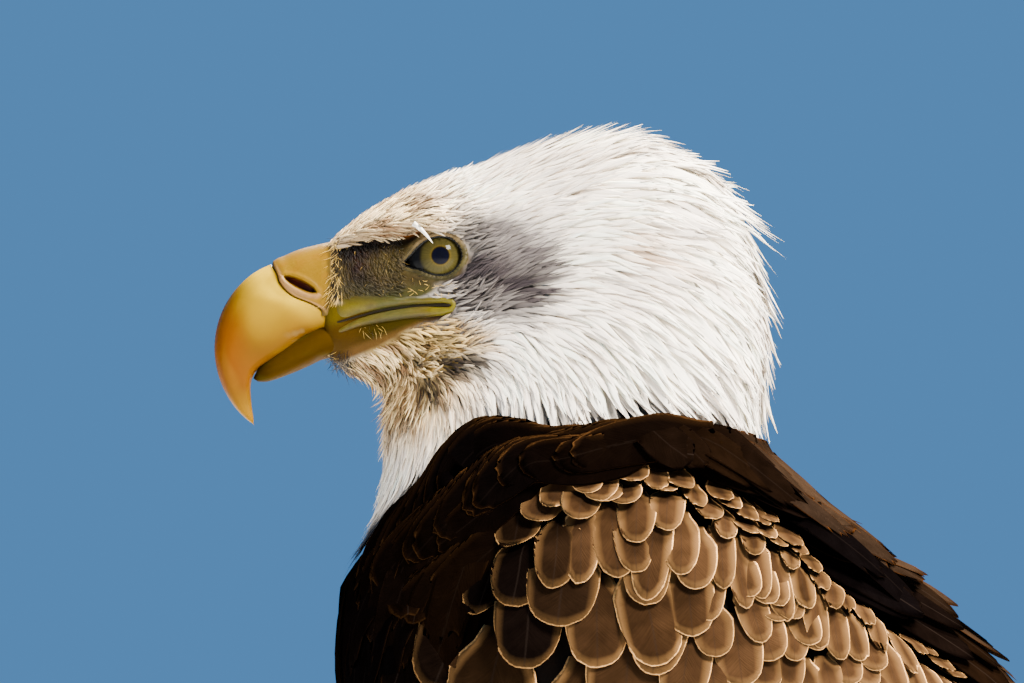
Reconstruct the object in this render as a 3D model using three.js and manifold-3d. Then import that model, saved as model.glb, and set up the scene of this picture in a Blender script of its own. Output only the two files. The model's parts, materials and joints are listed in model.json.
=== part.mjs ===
// Adult bald eagle standing alert on flat ground, life size, as a still display model.
// Millimetres, +Z up, the bird faces -X and its left side is at -Y.
// Every outline is measured from the eye line: x and z are 0 at the middle of the eyes, y is 0 at the
// middle of the body. The finished group is moved so that the soles stand at z = 0 and the whole bird's
// box is centred over the origin.

import * as THREE from "three";
import { mergeVertices } from "three/addons/utils/BufferGeometryUtils.js";
import Module from "manifold-3d";

const wasm = await Module();
wasm.setup();

// ---------- driving dimensions, mm ----------
const EYE_HEIGHT = 552; // from the floor to the middle of the eye
const GAP = 0.3; // air between neighbouring pieces
const EYEBALL_RADIUS = 9.6;
const EYE_FRONT_Y = 25.4; // from the middle plane to the front of the cornea
const BILL_BASE_X = -37.2; // where the cere meets the feathered forehead
const CULMEN_RADIUS = 27.2; // the arc of the upper bill
const CULMEN_CENTRE = { x: -43.2, z: -27.8 };
const TAIL_LENGTH = 268;
const TAIL_SLOPE = 47; // degrees below level
const TAIL_ROOT = { x: 262, z: -343 };
const FEATHERS_IN_TAIL = 12;
const FOOT_X = 123; // the shanks' feet, under the centre of gravity
const FOOT_Y = 47;
const ANKLE = { x: 141, z: -456 };
const SHANK_FOOT_Z = 15; // height of the shank's lower end above the floor
const FLOOR = -EYE_HEIGHT;

const radians = THREE.MathUtils.degToRad;

// ---------- materials ----------
const finish = (color, roughness) => new THREE.MeshStandardMaterial({ color, roughness, metalness: 0 });
const WHITE_PLUMAGE = finish(0xece6dc, 0.9);
const BROWN_PLUMAGE = finish(0x4a3526, 0.9);
const BILL_HORN = finish(0xf2b000, 0.35);
const CERE_SKIN = finish(0xf5c400, 0.45);
const LOWER_HORN = finish(0x8a7414, 0.45);
const IRIS = finish(0xb5a862, 0.1);
const SHANK_SKIN = finish(0xdda51c, 0.6);
const CLAW_HORN = finish(0x17130f, 0.35);

// ---------- curves ----------
// A smooth function through [position, value] knots, level past both ends.
function profile(knots) {
  const slope = knots.map(([p, v], i) => {
    const [p0, v0] = knots[Math.max(i - 1, 0)];
    const [p1, v1] = knots[Math.min(i + 1, knots.length - 1)];
    return (v1 - v0) / (p1 - p0);
  });
  return (at) => {
    const p = THREE.MathUtils.clamp(at, knots[0][0], knots.at(-1)[0]);
    const i = Math.min(Math.max(knots.findIndex(([k]) => k >= p) - 1, 0), knots.length - 2);
    const [p0, v0] = knots[i];
    const [p1, v1] = knots[i + 1];
    const w = p1 - p0;
    const t = (p - p0) / w;
    return (
      v0 * (1 + 2 * t) * (1 - t) ** 2 +
      slope[i] * w * t * (1 - t) ** 2 +
      v1 * t * t * (3 - 2 * t) +
      slope[i + 1] * w * t * t * (t - 1)
    );
  };
}

// A curve in the middle plane through [x, z] points.
const sidePath = (points) =>
  new THREE.CatmullRomCurve3(points.map(([x, z]) => new THREE.Vector3(x, 0, z)), false, "centripetal");

const hump = (value, middle, width) => Math.exp(-(((value - middle) / width) ** 2));
const steps = (count, from = 0, to = 1) =>
  Array.from({ length: count + 1 }, (_, i) => from + ((to - from) * i) / count);

// ---------- solids ----------
// A closed skin over a row of rings, each a list of Vector3, with a fan over both ends.
function loft(rings) {
  const around = rings[0].length;
  const centre = (ring) => ring.reduce((sum, p) => sum.add(p), new THREE.Vector3()).divideScalar(around);
  const points = [...rings.flat(), centre(rings[0]), centre(rings.at(-1))];
  const faces = [];
  for (let i = 0; i + 1 < rings.length; i++)
    for (let j = 0; j < around; j++) {
      const k = (j + 1) % around;
      const [a, b, c, d] = [i * around + j, i * around + k, (i + 1) * around + k, (i + 1) * around + j];
      faces.push([a, b, c], [a, c, d]);
    }
  const last = (rings.length - 1) * around;
  for (let j = 0; j < around; j++) {
    const k = (j + 1) % around;
    faces.push([points.length - 2, k, j], [points.length - 1, last + j, last + k]);
  }
  const volume = faces.reduce((sum, [a, b, c]) => {
    const cross = new THREE.Vector3().crossVectors(points[b], points[c]);
    return sum + points[a].dot(cross);
  }, 0);
  const facing = volume > 0 ? faces : faces.map(([a, b, c]) => [a, c, b]);
  const geometry = new THREE.BufferGeometry().setFromPoints(points);
  return solidOf(geometry.setIndex(facing.flat()));
}

function solidOf(geometry) {
  const bare = geometry.clone();
  bare.deleteAttribute("normal");
  bare.deleteAttribute("uv");
  const merged = mergeVertices(bare, 1e-4);
  const vertProperties = new Float32Array(merged.attributes.position.array);
  const triVerts = new Uint32Array(merged.index.array);
  return new wasm.Manifold(new wasm.Mesh({ numProp: 3, vertProperties, triVerts }));
}

function geometryOf(solid) {
  const { vertProperties, triVerts } = solid.getMesh();
  const geometry = new THREE.BufferGeometry();
  geometry.setAttribute("position", new THREE.BufferAttribute(new Float32Array(vertProperties), 3));
  return geometry.setIndex(new THREE.BufferAttribute(new Uint32Array(triVerts), 1));
}

// A superellipse ring: half sizes along two directions, and an exponent over 2 for squarer sides.
// turned is the angle of its first point; half a step there puts a flat side underneath.
function ring(centre, across, along, count, exponent = 2, turned = 0) {
  const rounded = (v) => Math.sign(v) * Math.abs(v) ** (2 / exponent);
  return steps(count - 1, turned, turned + 2 * Math.PI * (1 - 1 / count)).map((angle) =>
    centre
      .clone()
      .addScaledVector(across, rounded(Math.cos(angle)))
      .addScaledVector(along, rounded(Math.sin(angle))),
  );
}

// Everything of a solid on the near side of a plane, given by its outward normal and its distance.
const trimmed = (solid, normal, distance) => solid.trimByPlane(normal, distance);

// ---------- head ----------
const HEAD_FRONT = BILL_BASE_X + GAP;
const HEAD_BACK = 99;
const crown = profile([[-37, 3.6], [-28, 11.2], [-14, 19.8], [0, 24.6], [13, 29.5], [33, 37], [55, 40.6], [75, 37.5], [90, 26], [99, 10]]);
const chin = profile([[-37, -33.5], [-26, -38], [-8, -43], [15, -47], [45, -44], [70, -34], [88, -18], [99, -2]]);
const cheek = profile([[-37, 13.4], [-24, 17], [-10, 21.5], [6, 26.5], [24, 31], [48, 35.5], [70, 35], [88, 25], [99, 7]]);

// The gape runs from the bill's base back under the eye, and the lips stand a little proud of the face.
const gapeLine = profile([[-37, -24.5], [-25, -20.5], [-12, -17.2], [0, -15.6], [6, -15.8]]);

// How far the face stands out from the plain oval of the skull: brow ridge, eye socket, lore and gape lips.
function faceRelief(x, z) {
  const brow = 4.6 * hump(x, -6, 15) * hump(z, 10.5 + 0.22 * x, 4.2);
  const socket = -3.4 * hump(x, -3, 10) * hump(z, -0.5, 6.5);
  const lore = -3.2 * hump(x, -22, 11) * hump(z, -5, 8);
  const lips = x < 8 ? 1.5 * hump(z, gapeLine(x), 2.4) : 0;
  return brow + socket + lore + lips;
}

function headRing(x, grow) {
  const top = crown(x) + grow;
  const bottom = chin(x) - grow;
  const middle = new THREE.Vector3(x, 0, (top + bottom) / 2);
  const across = new THREE.Vector3(0, cheek(x) + grow, 0);
  const up = new THREE.Vector3(0, 0, (top - bottom) / 2);
  return ring(middle, across, up, 32, 2.25).map((p) => {
    const side = p.y / across.y;
    return p.setY(p.y + faceRelief(p.x, p.z) * Math.sign(side) * Math.min(1, Math.abs(side) * 1.6) ** 2);
  });
}

const headSolid = (grow = 0) =>
  loft([
    ...steps(9, HEAD_FRONT, 10).map((x) => headRing(x, grow)),
    ...steps(5, 22, HEAD_BACK).map((x) => headRing(x, grow)),
  ]);

// ---------- eyes ----------
const eyeball = (side, grow = 0) =>
  solidOf(
    new THREE.SphereGeometry(EYEBALL_RADIUS + grow, 12, 8).translate(0, side * (EYE_FRONT_Y - EYEBALL_RADIUS), 0),
  );

// ---------- bill ----------
// The culmen runs from the forehead over the cere and round the hook; the cutting edge runs under it.
const HOOK_START = 110; // degrees round the culmen's centre, where the horn leaves the cere
const HOOK_END = 239;
const culmen = sidePath([
  [BILL_BASE_X, 3.4],
  [-45, 1.3],
  ...steps(9, HOOK_START, HOOK_END).map((angle, i) => {
    const reach = CULMEN_RADIUS + 2.3 * (i / 9) ** 3;
    return [CULMEN_CENTRE.x + reach * Math.cos(radians(angle)), CULMEN_CENTRE.z + reach * Math.sin(radians(angle))];
  }),
]);
const cuttingEdge = sidePath([
  [BILL_BASE_X, -24.2],
  [-42.8, -26.2],
  [-47.5, -29.6],
  [-53.6, -33],
  [-57.8, -36],
  [-59.4, -39.8],
  [-59.2, -46],
  [-58.3, -52.6],
]);
const billWidth = profile([[0, 13.2], [0.2, 12.4], [0.4, 10.6], [0.6, 7.9], [0.8, 4.7], [0.93, 2.4], [1, 0.7]]);

const upperBill = (grow = 0) =>
  loft(
    steps(15).map((t) => {
      const top = culmen.getPointAt(t);
      const edge = cuttingEdge.getPointAt(t);
      const half = top.clone().sub(edge).multiplyScalar(0.5);
      const middle = top.clone().add(edge).multiplyScalar(0.5);
      half.setLength(half.length() + grow);
      return ring(middle, half, new THREE.Vector3(0, billWidth(t) + grow, 0), 16, 2.15);
    }),
  );

// The line where the soft cere ends and the horn begins, as a thin curved wall that parts the two.
const cereLine = sidePath([[-53.6, 6], [-52.4, -2.4], [-50.6, -9], [-46.4, -13.4], [-41.5, -16], [-37, -19.5], [-34, -24]]);
function cereWall() {
  const outline = new THREE.Shape();
  const line = cereLine.getPoints(9);
  line.forEach((p, i) => (i ? outline.lineTo(p.x, p.z) : outline.moveTo(p.x, p.z)));
  line.reverse().forEach((p) => outline.lineTo(p.x + GAP, p.z + GAP * 0.4));
  const wall = new THREE.ExtrudeGeometry(outline, { depth: 60, bevelEnabled: false });
  return solidOf(wall.rotateX(Math.PI / 2).translate(0, 30, 0));
}

// The lower bill lies inside the cutting edges of the upper one.
const lowerTop = profile([[-58.6, -37.6], [-52, -33.6], [-46, -29.4], [BILL_BASE_X, -25]]);
const lowerBottom = profile([[-58.6, -39.2], [-54, -39.2], [-47, -36.8], [-41, -34.2], [BILL_BASE_X, -32.4]]);
const lowerWidth = profile([[-58.6, 3], [-55, 5.6], [-48, 8.8], [BILL_BASE_X, 12.2]]);
const lowerBill = () =>
  loft(
    steps(7, -58.6, BILL_BASE_X).map((x) => {
      const [top, bottom] = [lowerTop(x), lowerBottom(x)];
      const middle = new THREE.Vector3(x, 0, (top + bottom) / 2);
      return ring(middle, new THREE.Vector3(0, lowerWidth(x), 0), new THREE.Vector3(0, 0, (top - bottom) / 2), 12, 2.3);
    }),
  );

// ---------- neck and trunk ----------
// Both are rows of oval slices. Each slice is given by its front and back points in the middle plane.
const NECK_SLICES = [
  { front: [6, 6], back: [92, 30], half: 31, lift: 0 },
  { front: [-8, -24], back: [104, 4], half: 38, lift: 0 },
  { front: [-18, -45], back: [107.5, -23], half: 42.5, lift: 0 },
  { front: [-17, -62], back: [107.5, -42], half: 45.5, lift: 0 },
  { front: [-21.5, -80], back: [104, -60], half: 49, lift: 0 },
  { front: [-22, -98], back: [100, -80], half: 50, lift: 0 },
];
const TRUNK_SLICES = [
  { front: [-23, -86], back: [101, -60], half: 54, lift: 13 },
  { front: [-31.5, -104], back: [126, -82], half: 63, lift: 8 },
  { front: [-32.5, -134], back: [161, -109], half: 73, lift: 3 },
  { front: [-26, -172], back: [190, -145], half: 82, lift: 0 },
  { front: [-13, -214], back: [216, -186], half: 86, lift: 0 },
  { front: [10, -258], back: [240, -228], half: 85, lift: 0 },
  { front: [44, -300], back: [262, -268], half: 80, lift: 0 },
  { front: [88, -337], back: [283, -306], half: 71, lift: 0 },
  { front: [138, -365], back: [303, -342], half: 60, lift: 0 },
  { front: [188, -385], back: [320, -373], half: 48, lift: 0 },
  { front: [236, -402], back: [333, -401], half: 37, lift: 0 },
  { front: [282, -420], back: [342, -424], half: 25, lift: 0 },
  { front: [318, -437], back: [346, -441], half: 12, lift: 0 },
];

// The slices between the given ones, by a smooth curve through each of their measures.
function between(slices, count) {
  const read = (get) => profile(slices.map((s, i) => [i, get(s)]));
  const fields = {
    fx: read((s) => s.front[0]),
    fz: read((s) => s.front[1]),
    bx: read((s) => s.back[0]),
    bz: read((s) => s.back[1]),
    half: read((s) => s.half),
    lift: read((s) => s.lift),
  };
  return steps(count, 0, slices.length - 1).map((i) => ({
    front: [fields.fx(i), fields.fz(i)],
    back: [fields.bx(i), fields.bz(i)],
    half: fields.half(i),
    lift: fields.lift(i),
  }));
}

function ovalSolid(slices, count, around, exponent, grow) {
  return loft(
    between(slices, count).map(({ front, back, half, lift }) => {
      const middle = new THREE.Vector3((front[0] + back[0]) / 2, 0, (front[1] + back[1]) / 2);
      const along = new THREE.Vector3((back[0] - front[0]) / 2, 0, (back[1] - front[1]) / 2);
      along.setLength(along.length() + grow);
      const across = new THREE.Vector3(0, half + grow, 0);
      return ring(middle, along, across, around, exponent).map((p) => p.setZ(p.z + lift * (p.y / across.y) ** 2));
    }),
  );
}
const neckSolid = (grow = 0) => ovalSolid(NECK_SLICES, 6, 24, 2.1, grow);
const trunkSolid = (grow = 0) => ovalSolid(TRUNK_SLICES, 14, 28, 2.2, grow);

// ---------- folded wings ----------
// A wing is a curved plate along its own axis: each station has the upper and lower edge in side view,
// the distance of its face from the middle plane, its half thickness and how much it curls round the body.
const WING_STATIONS = [
  { upper: [22, -92], lower: [10, -116], out: 69, half: 5, curl: 1 },
  { upper: [44, -72], lower: [7, -146], out: 77, half: 12, curl: 10 },
  { upper: [79, -72], lower: [18, -184], out: 86, half: 16, curl: 18 },
  { upper: [117, -96], lower: [42, -226], out: 93, half: 17, curl: 24 },
  { upper: [152, -126], lower: [77, -270], out: 97, half: 17, curl: 27 },
  { upper: [186, -166], lower: [117, -312], out: 97, half: 16, curl: 27 },
  { upper: [219, -210], lower: [161, -352], out: 92, half: 15, curl: 25 },
  { upper: [250, -256], lower: [206, -388], out: 84, half: 13, curl: 20 },
  { upper: [280, -306], lower: [250, -420], out: 74, half: 11, curl: 15 },
  { upper: [309, -358], lower: [292, -450], out: 63, half: 9, curl: 10 },
  { upper: [338, -412], lower: [330, -480], out: 52, half: 7, curl: 6 },
  { upper: [366, -464], lower: [362, -507], out: 42, half: 5, curl: 2 },
  { upper: [389, -510], lower: [388, -528], out: 34, half: 2.5, curl: 0 },
];
function wingSolid(side) {
  const read = (get) => profile(WING_STATIONS.map((s, i) => [i, get(s)]));
  const fields = ["ux", "uz", "lx", "lz", "out", "half", "curl"];
  const values = [
    read((s) => s.upper[0]),
    read((s) => s.upper[1]),
    read((s) => s.lower[0]),
    read((s) => s.lower[1]),
    read((s) => s.out),
    read((s) => s.half),
    read((s) => s.curl),
  ];
  return loft(
    steps(13, 0, WING_STATIONS.length - 1).map((i) => {
      const at = Object.fromEntries(fields.map((name, k) => [name, values[k](i)]));
      const middle = new THREE.Vector3((at.ux + at.lx) / 2, side * (at.out - at.half), (at.uz + at.lz) / 2);
      const broad = new THREE.Vector3((at.ux - at.lx) / 2, 0, (at.uz - at.lz) / 2);
      const thick = new THREE.Vector3(0, side * at.half, 0);
      const reach = broad.length();
      return ring(middle, broad, thick, 14, 2.2).map((p) => {
        const offset = p.clone().sub(middle).dot(broad) / (reach * reach);
        return p.setY(p.y - side * at.curl * offset * offset);
      });
    }),
  );
}

// The wing is parted across its axis, where the coverts end and where the longest quills stand free.
const WING_AXIS = [Math.cos(radians(50)), 0, -Math.sin(radians(50))];
const COVERTS_END = 250; // along the axis from the eye
const SECONDARIES_END = 462;
function wingParts(wing) {
  const back = WING_AXIS.map((v) => -v);
  return {
    coverts: trimmed(wing, back, -COVERTS_END),
    secondaries: trimmed(trimmed(wing, WING_AXIS, COVERTS_END + GAP), back, -SECONDARIES_END),
    primaries: trimmed(wing, WING_AXIS, SECONDARIES_END + GAP),
  };
}

// ---------- tail ----------
// A flat fan with one round tip for each quill, arched across and laid along the rump's slope.
function tailSolid(grow = 0) {
  const rootHalf = 24 + grow;
  const tipHalf = 51 + grow;
  const outline = new THREE.Shape();
  outline.moveTo(-20, -rootHalf);
  const quill = (2 * tipHalf) / FEATHERS_IN_TAIL;
  const reach = (y) => TAIL_LENGTH + grow - 26 * Math.abs(y / tipHalf) ** 2.2;
  for (let i = 0; i < FEATHERS_IN_TAIL; i++)
    steps(3, -0.45, 0.45).forEach((across) => {
      const y = -tipHalf + quill * (i + 0.5 + across);
      outline.lineTo(reach(y) - 5 * (2 * across) ** 2, y);
    });
  outline.lineTo(-20, rootHalf);
  outline.closePath();
  const thickness = 5 + 2 * grow;
  const slab = new THREE.ExtrudeGeometry(outline, { depth: thickness, bevelEnabled: false, curveSegments: 4 });
  slab.translate(0, 0, -thickness / 2);
  const arched = slab.attributes.position;
  for (let i = 0; i < arched.count; i++) arched.setZ(i, arched.getZ(i) - 9 * (arched.getY(i) / tipHalf) ** 2);
  slab.rotateY(radians(TAIL_SLOPE)).translate(TAIL_ROOT.x, 0, TAIL_ROOT.z);
  return solidOf(slab);
}

// ---------- legs ----------
// The feathered thigh hangs from the flank and covers the ankle; the bare shank comes out below it.
const THIGH_STATIONS = [
  { x: 108, z: -280, deep: 46, wide: 22, y: 40 },
  { x: 109, z: -325, deep: 54, wide: 30, y: 45 },
  { x: 113, z: -365, deep: 51, wide: 32, y: 48 },
  { x: 121, z: -402, deep: 43, wide: 29, y: 49 },
  { x: 130, z: -436, deep: 33, wide: 23.5, y: 49 },
  { x: 136, z: -466, deep: 23, wide: 17.5, y: 48 },
  { x: 137, z: -488, deep: 14, wide: 12.5, y: 47.5 },
];
function thighSolid(side, grow = 0) {
  const read = (name) => profile(THIGH_STATIONS.map((s, i) => [i, s[name]]));
  const [x, z, deep, wide, y] = ["x", "z", "deep", "wide", "y"].map(read);
  return loft(
    steps(7, 0, THIGH_STATIONS.length - 1).map((i) =>
      ring(
        new THREE.Vector3(x(i), side * y(i), z(i)),
        new THREE.Vector3(deep(i) + grow, 0, 0),
        new THREE.Vector3(0, wide(i) + grow, 0),
        14,
      ),
    ),
  );
}

// A round bar of changing radius along a path; nothing of it reaches below the floor, which leaves flat soles.
function bar(path, count, around, radius) {
  return loft(
    steps(count).map((t) => {
      const at = path.getPointAt(t);
      const ahead = path.getTangentAt(t);
      const sideways = new THREE.Vector3().crossVectors(ahead, new THREE.Vector3(0, 0, 1));
      if (sideways.length() < 0.05) sideways.set(0, 1, 0);
      sideways.normalize();
      const upward = new THREE.Vector3().crossVectors(sideways, ahead).normalize();
      const across = sideways.multiplyScalar(radius(t));
      const along = upward.multiplyScalar(radius(t));
      return ring(at, across, along, around, 2, Math.PI / around).map((p) => p.setZ(Math.max(p.z, FLOOR)));
    }),
  );
}

const shankRadius = profile([[0, 9.5], [0.15, 9.8], [0.35, 7.6], [0.7, 7.2], [0.9, 9], [1, 10.5]]);
const shankSolid = (side, grow = 0) =>
  bar(
    new THREE.LineCurve3(
      new THREE.Vector3(ANKLE.x, side * (FOOT_Y + 1), ANKLE.z + grow),
      new THREE.Vector3(FOOT_X, side * FOOT_Y, FLOOR + SHANK_FOOT_Z - grow),
    ),
    5,
    10,
    (t) => shankRadius(t) + grow,
  );

// Toes in the bird's own order: the hind toe, then inner, middle and outer.
// turn is degrees from straight ahead, positive away from the body.
const TOES = [
  { name: "hind", turn: 180 + 8, length: 41, thick: 8, claw: 25 },
  { name: "inner", turn: -30, length: 53, thick: 7.8, claw: 23 },
  { name: "middle", turn: 3, length: 74, thick: 7.6, claw: 19 },
  { name: "outer", turn: 38, length: 58, thick: 7, claw: 16 },
];
const TOE_START = 5; // from the shank's foot to the toe's root
const TOE_TIP_HEIGHT = 8;
const CLAW_LIFT = 24; // degrees above level at which a claw leaves its toe

// A point a given way out along a toe and up from the floor.
const onToe = (toe, side, out, up) =>
  new THREE.Vector3(
    FOOT_X - out * Math.cos(radians(toe.turn)),
    side * (FOOT_Y + out * Math.sin(radians(toe.turn))),
    FLOOR + up,
  );

function toeSolid(toe, side, grow = 0) {
  const path = new THREE.CatmullRomCurve3([
    onToe(toe, side, TOE_START, 11),
    onToe(toe, side, TOE_START + toe.length * 0.3, 5),
    onToe(toe, side, TOE_START + toe.length * 0.7, 4.2),
    onToe(toe, side, TOE_START + toe.length, TOE_TIP_HEIGHT),
  ]);
  const pads = (t) => 0.9 * Math.cos(2 * Math.PI * t * (toe.length > 60 ? 3 : 2));
  return bar(path, toe.length > 60 ? 8 : 6, 8, (t) => (toe.thick - 2.4 * t + pads(t)) * (t > 0.97 ? 0.82 : 1) + grow);
}

// A claw is a tapering arc that leaves the toe a little upwards and ends just above the floor.
function clawSolid(toe, side) {
  const start = TOE_START + toe.length - 1;
  const fall = Math.cos(radians(CLAW_LIFT)) + (0.6 - TOE_TIP_HEIGHT) / toe.claw;
  const sweep = radians(CLAW_LIFT) + Math.acos(THREE.MathUtils.clamp(fall, -1, 1));
  const points = steps(8).map((t) => {
    const angle = radians(CLAW_LIFT) - sweep * t;
    const out = start + toe.claw * (Math.sin(radians(CLAW_LIFT)) - Math.sin(angle));
    const up = TOE_TIP_HEIGHT + toe.claw * (Math.cos(angle) - Math.cos(radians(CLAW_LIFT)));
    return onToe(toe, side, out, up);
  });
  const radius = (t) => 0.55 + (toe.thick * 0.53 - 0.55) * (1 - t) ** 0.8;
  return bar(new THREE.CatmullRomCurve3(points), 4, 6, radius);
}

// ---------- the bird, piece by piece ----------
const bird = new THREE.Group();
const add = (name, solid, material) => {
  const mesh = new THREE.Mesh(geometryOf(solid), material);
  mesh.name = name;
  bird.add(mesh);
};
const SIDES = [
  { word: "left", side: -1 },
  { word: "right", side: 1 },
];

const billRoot = upperBill();
const horn = billRoot.subtract(cereWall()).decompose();
horn.sort((a, b) => a.boundingBox().min[0] - b.boundingBox().min[0]);
add("bill_upper", horn[0], BILL_HORN);
add("cere", horn.at(-1), CERE_SKIN);
add("bill_lower", lowerBill().subtract(upperBill(GAP)), LOWER_HORN);

const sockets = SIDES.map(({ side }) => eyeball(side, GAP));
const head = sockets.reduce((solid, socket) => solid.subtract(socket), headSolid());
add("head", head, WHITE_PLUMAGE);
for (const { word, side } of SIDES) add(`eye_${word}`, eyeball(side), IRIS);

const headRoom = headSolid(GAP);
const neckRoom = neckSolid(GAP);
const tailRoom = tailSolid(GAP);
add("neck", neckSolid().subtract(headRoom), WHITE_PLUMAGE);
const trunkRoom = trunkSolid(GAP);
add("trunk", trunkSolid().subtract(headRoom).subtract(neckRoom).subtract(tailRoom), BROWN_PLUMAGE);
add("tail", tailSolid(), WHITE_PLUMAGE);

for (const { word, side } of SIDES) {
  const thigh = thighSolid(side).subtract(trunkRoom);
  const shankRoom = shankSolid(side, GAP);
  const wing = wingSolid(side).subtract(trunkRoom).subtract(thighSolid(side, GAP)).subtract(tailRoom);
  for (const [part, solid] of Object.entries(wingParts(wing.subtract(neckRoom))))
    add(`wing_${word}_${part}`, solid, BROWN_PLUMAGE);
  add(`thigh_${word}`, thigh.subtract(shankRoom), BROWN_PLUMAGE);
  add(`shank_${word}`, shankSolid(side), SHANK_SKIN);
  let taken = shankRoom;
  for (const toe of TOES) {
    add(`toe_${word}_${toe.name}`, toeSolid(toe, side).subtract(taken), SHANK_SKIN);
    const room = toeSolid(toe, side, GAP);
    add(`claw_${word}_${toe.name}`, clawSolid(toe, side).subtract(room), CLAW_HORN);
    taken = taken.add(room);
  }
}

// The origin is at the middle of the whole bird's box, on the floor.
const reach = new THREE.Box3().setFromObject(bird).getCenter(new THREE.Vector3());
bird.position.set(-reach.x, 0, EYE_HEIGHT);
export default bird;
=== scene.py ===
"""An adult bald eagle at life size: skin, bill, eyes, feet and layers of feathers over the fixed frame."""

import json
import math

import bpy
import numpy as np
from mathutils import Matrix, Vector
from mathutils.bvhtree import BVHTree
from mathutils.kdtree import KDTree

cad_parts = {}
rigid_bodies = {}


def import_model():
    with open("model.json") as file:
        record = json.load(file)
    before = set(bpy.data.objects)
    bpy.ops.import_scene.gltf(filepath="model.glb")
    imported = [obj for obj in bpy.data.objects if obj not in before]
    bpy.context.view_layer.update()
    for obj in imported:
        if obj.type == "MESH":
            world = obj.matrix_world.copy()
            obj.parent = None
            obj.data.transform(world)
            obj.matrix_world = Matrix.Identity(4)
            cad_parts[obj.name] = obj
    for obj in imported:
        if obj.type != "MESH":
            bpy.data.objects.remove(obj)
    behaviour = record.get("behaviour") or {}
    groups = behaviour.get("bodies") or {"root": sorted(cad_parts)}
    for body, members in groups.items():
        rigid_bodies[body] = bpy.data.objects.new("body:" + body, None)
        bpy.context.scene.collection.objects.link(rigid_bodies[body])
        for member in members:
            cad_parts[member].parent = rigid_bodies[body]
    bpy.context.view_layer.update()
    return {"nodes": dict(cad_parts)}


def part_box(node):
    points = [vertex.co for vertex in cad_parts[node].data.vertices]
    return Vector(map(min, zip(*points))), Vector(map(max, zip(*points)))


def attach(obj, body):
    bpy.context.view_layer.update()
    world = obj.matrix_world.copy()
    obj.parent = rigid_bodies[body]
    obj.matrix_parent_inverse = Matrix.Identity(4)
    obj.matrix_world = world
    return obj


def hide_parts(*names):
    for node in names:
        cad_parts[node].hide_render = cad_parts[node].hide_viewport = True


bl_info = {
    "name": "Bald Eagle Model",
    "version": (1, 0, 0),
    "blender": (4, 5, 0),
    "location": "3D View > Sidebar > Eagle",
    "description": "Builds a life-size bald eagle, feather by feather, over its fixed frame",
    "category": "Object",
}

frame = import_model()

MM = 0.001
SIDES = (("left", -1), ("right", 1))


# ---------- places ----------
# Shapes are worked out in millimetres from the eye line: x back towards the tail, y to the bird's right,
# z up, and 0 midway between the eyes.
def middle_of_eyes():
    low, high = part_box("eye_left")
    return np.array([(low.x + high.x) / 2, 0.0, (low.z + high.z) / 2])


EYE_LINE = middle_of_eyes()
EYE_FRONT = -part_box("eye_left")[0].y / MM  # from the middle plane to the front of the cornea
FLOOR = -EYE_LINE[2] / MM


def to_world(points):
    return np.asarray(points, float) * MM + EYE_LINE


def to_eye_line(points):
    return (np.asarray(points, float) - EYE_LINE) / MM


# ---------- numbers ----------
def linear(code):
    """An sRGB hex colour as linear red, green and blue. Linear colours are given back as they are."""
    if not isinstance(code, str):
        return code
    parts = [int(code[i : i + 2], 16) / 255 for i in (1, 3, 5)]
    return tuple(c / 12.92 if c <= 0.04045 else ((c + 0.055) / 1.055) ** 2.4 for c in parts)


def smooth(low, high, value):
    t = np.clip((np.asarray(value, float) - low) / (high - low), 0, 1)
    return t * t * (3 - 2 * t)


def hump(value, middle, width):
    return np.exp(-(((value - middle) / width) ** 2))


def curve(*knots):
    """A smooth function through (position, value) knots, level past both ends. Values may be points."""
    at = np.array([k[0] for k in knots], float)
    values = np.array([k[1] for k in knots], float).reshape(len(knots), -1)
    before, after = np.maximum(np.arange(len(at)) - 1, 0), np.minimum(np.arange(len(at)) + 1, len(at) - 1)
    slope = (values[after] - values[before]) / (at[after] - at[before])[:, None]

    def read(position):
        p = np.clip(np.asarray(position, float), at[0], at[-1])
        i = np.clip(np.searchsorted(at, p) - 1, 0, len(at) - 2)
        wide = at[i + 1] - at[i]
        t = ((p - at[i]) / wide)[..., None]
        wide = wide[..., None]
        out = values[i] * (1 + 2 * t) * (1 - t) ** 2 + slope[i] * wide * t * (1 - t) ** 2
        out = out + values[i + 1] * t * t * (3 - 2 * t) + slope[i + 1] * wide * t * t * (t - 1)
        return out[..., 0] if values.shape[1] == 1 else out

    return read


def path(points):
    """A smooth curve through points, read from 0 to 1 by distance."""
    points = np.array(points, float)
    along = np.concatenate([[0], np.cumsum(np.linalg.norm(np.diff(points, axis=0), axis=1))])
    return curve(*zip(along / along[-1], points))


def unit(vectors):
    return vectors / np.maximum(np.linalg.norm(vectors, axis=-1, keepdims=True), 1e-9)


def mottle(points, grain, seed):
    """Soft patches about one grain across, from -1 to 1, at points in mm."""
    rng = np.random.default_rng(seed)
    waves = unit(rng.normal(size=(9, 3))) * rng.uniform(0.6, 1.6, (9, 1)) * (2 * math.pi / (2.2 * grain))
    phase = rng.uniform(0, 2 * math.pi, 9)
    return np.clip(np.sin(np.asarray(points) @ waves.T + phase).sum(-1) / 3.2, -1, 1)


def blend(base, *layers):
    """Lays linear or hex colours over others, each by an amount from 0 to 1 at every point."""
    for colour, amount in layers:
        amount = np.asarray(amount, float)[..., None]
        base = np.asarray(base, float) * (1 - amount) + np.asarray(linear(colour), float) * amount
    return base


# ---------- meshes ----------
def deselect():
    if bpy.context.object and bpy.context.object.mode != "OBJECT":
        bpy.ops.object.mode_set(mode="OBJECT")
    bpy.ops.object.select_all(action="DESELECT")


def pick(*objects):
    deselect()
    for chosen in objects:
        chosen.select_set(True)
    bpy.context.view_layer.objects.active = objects[0]


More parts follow.
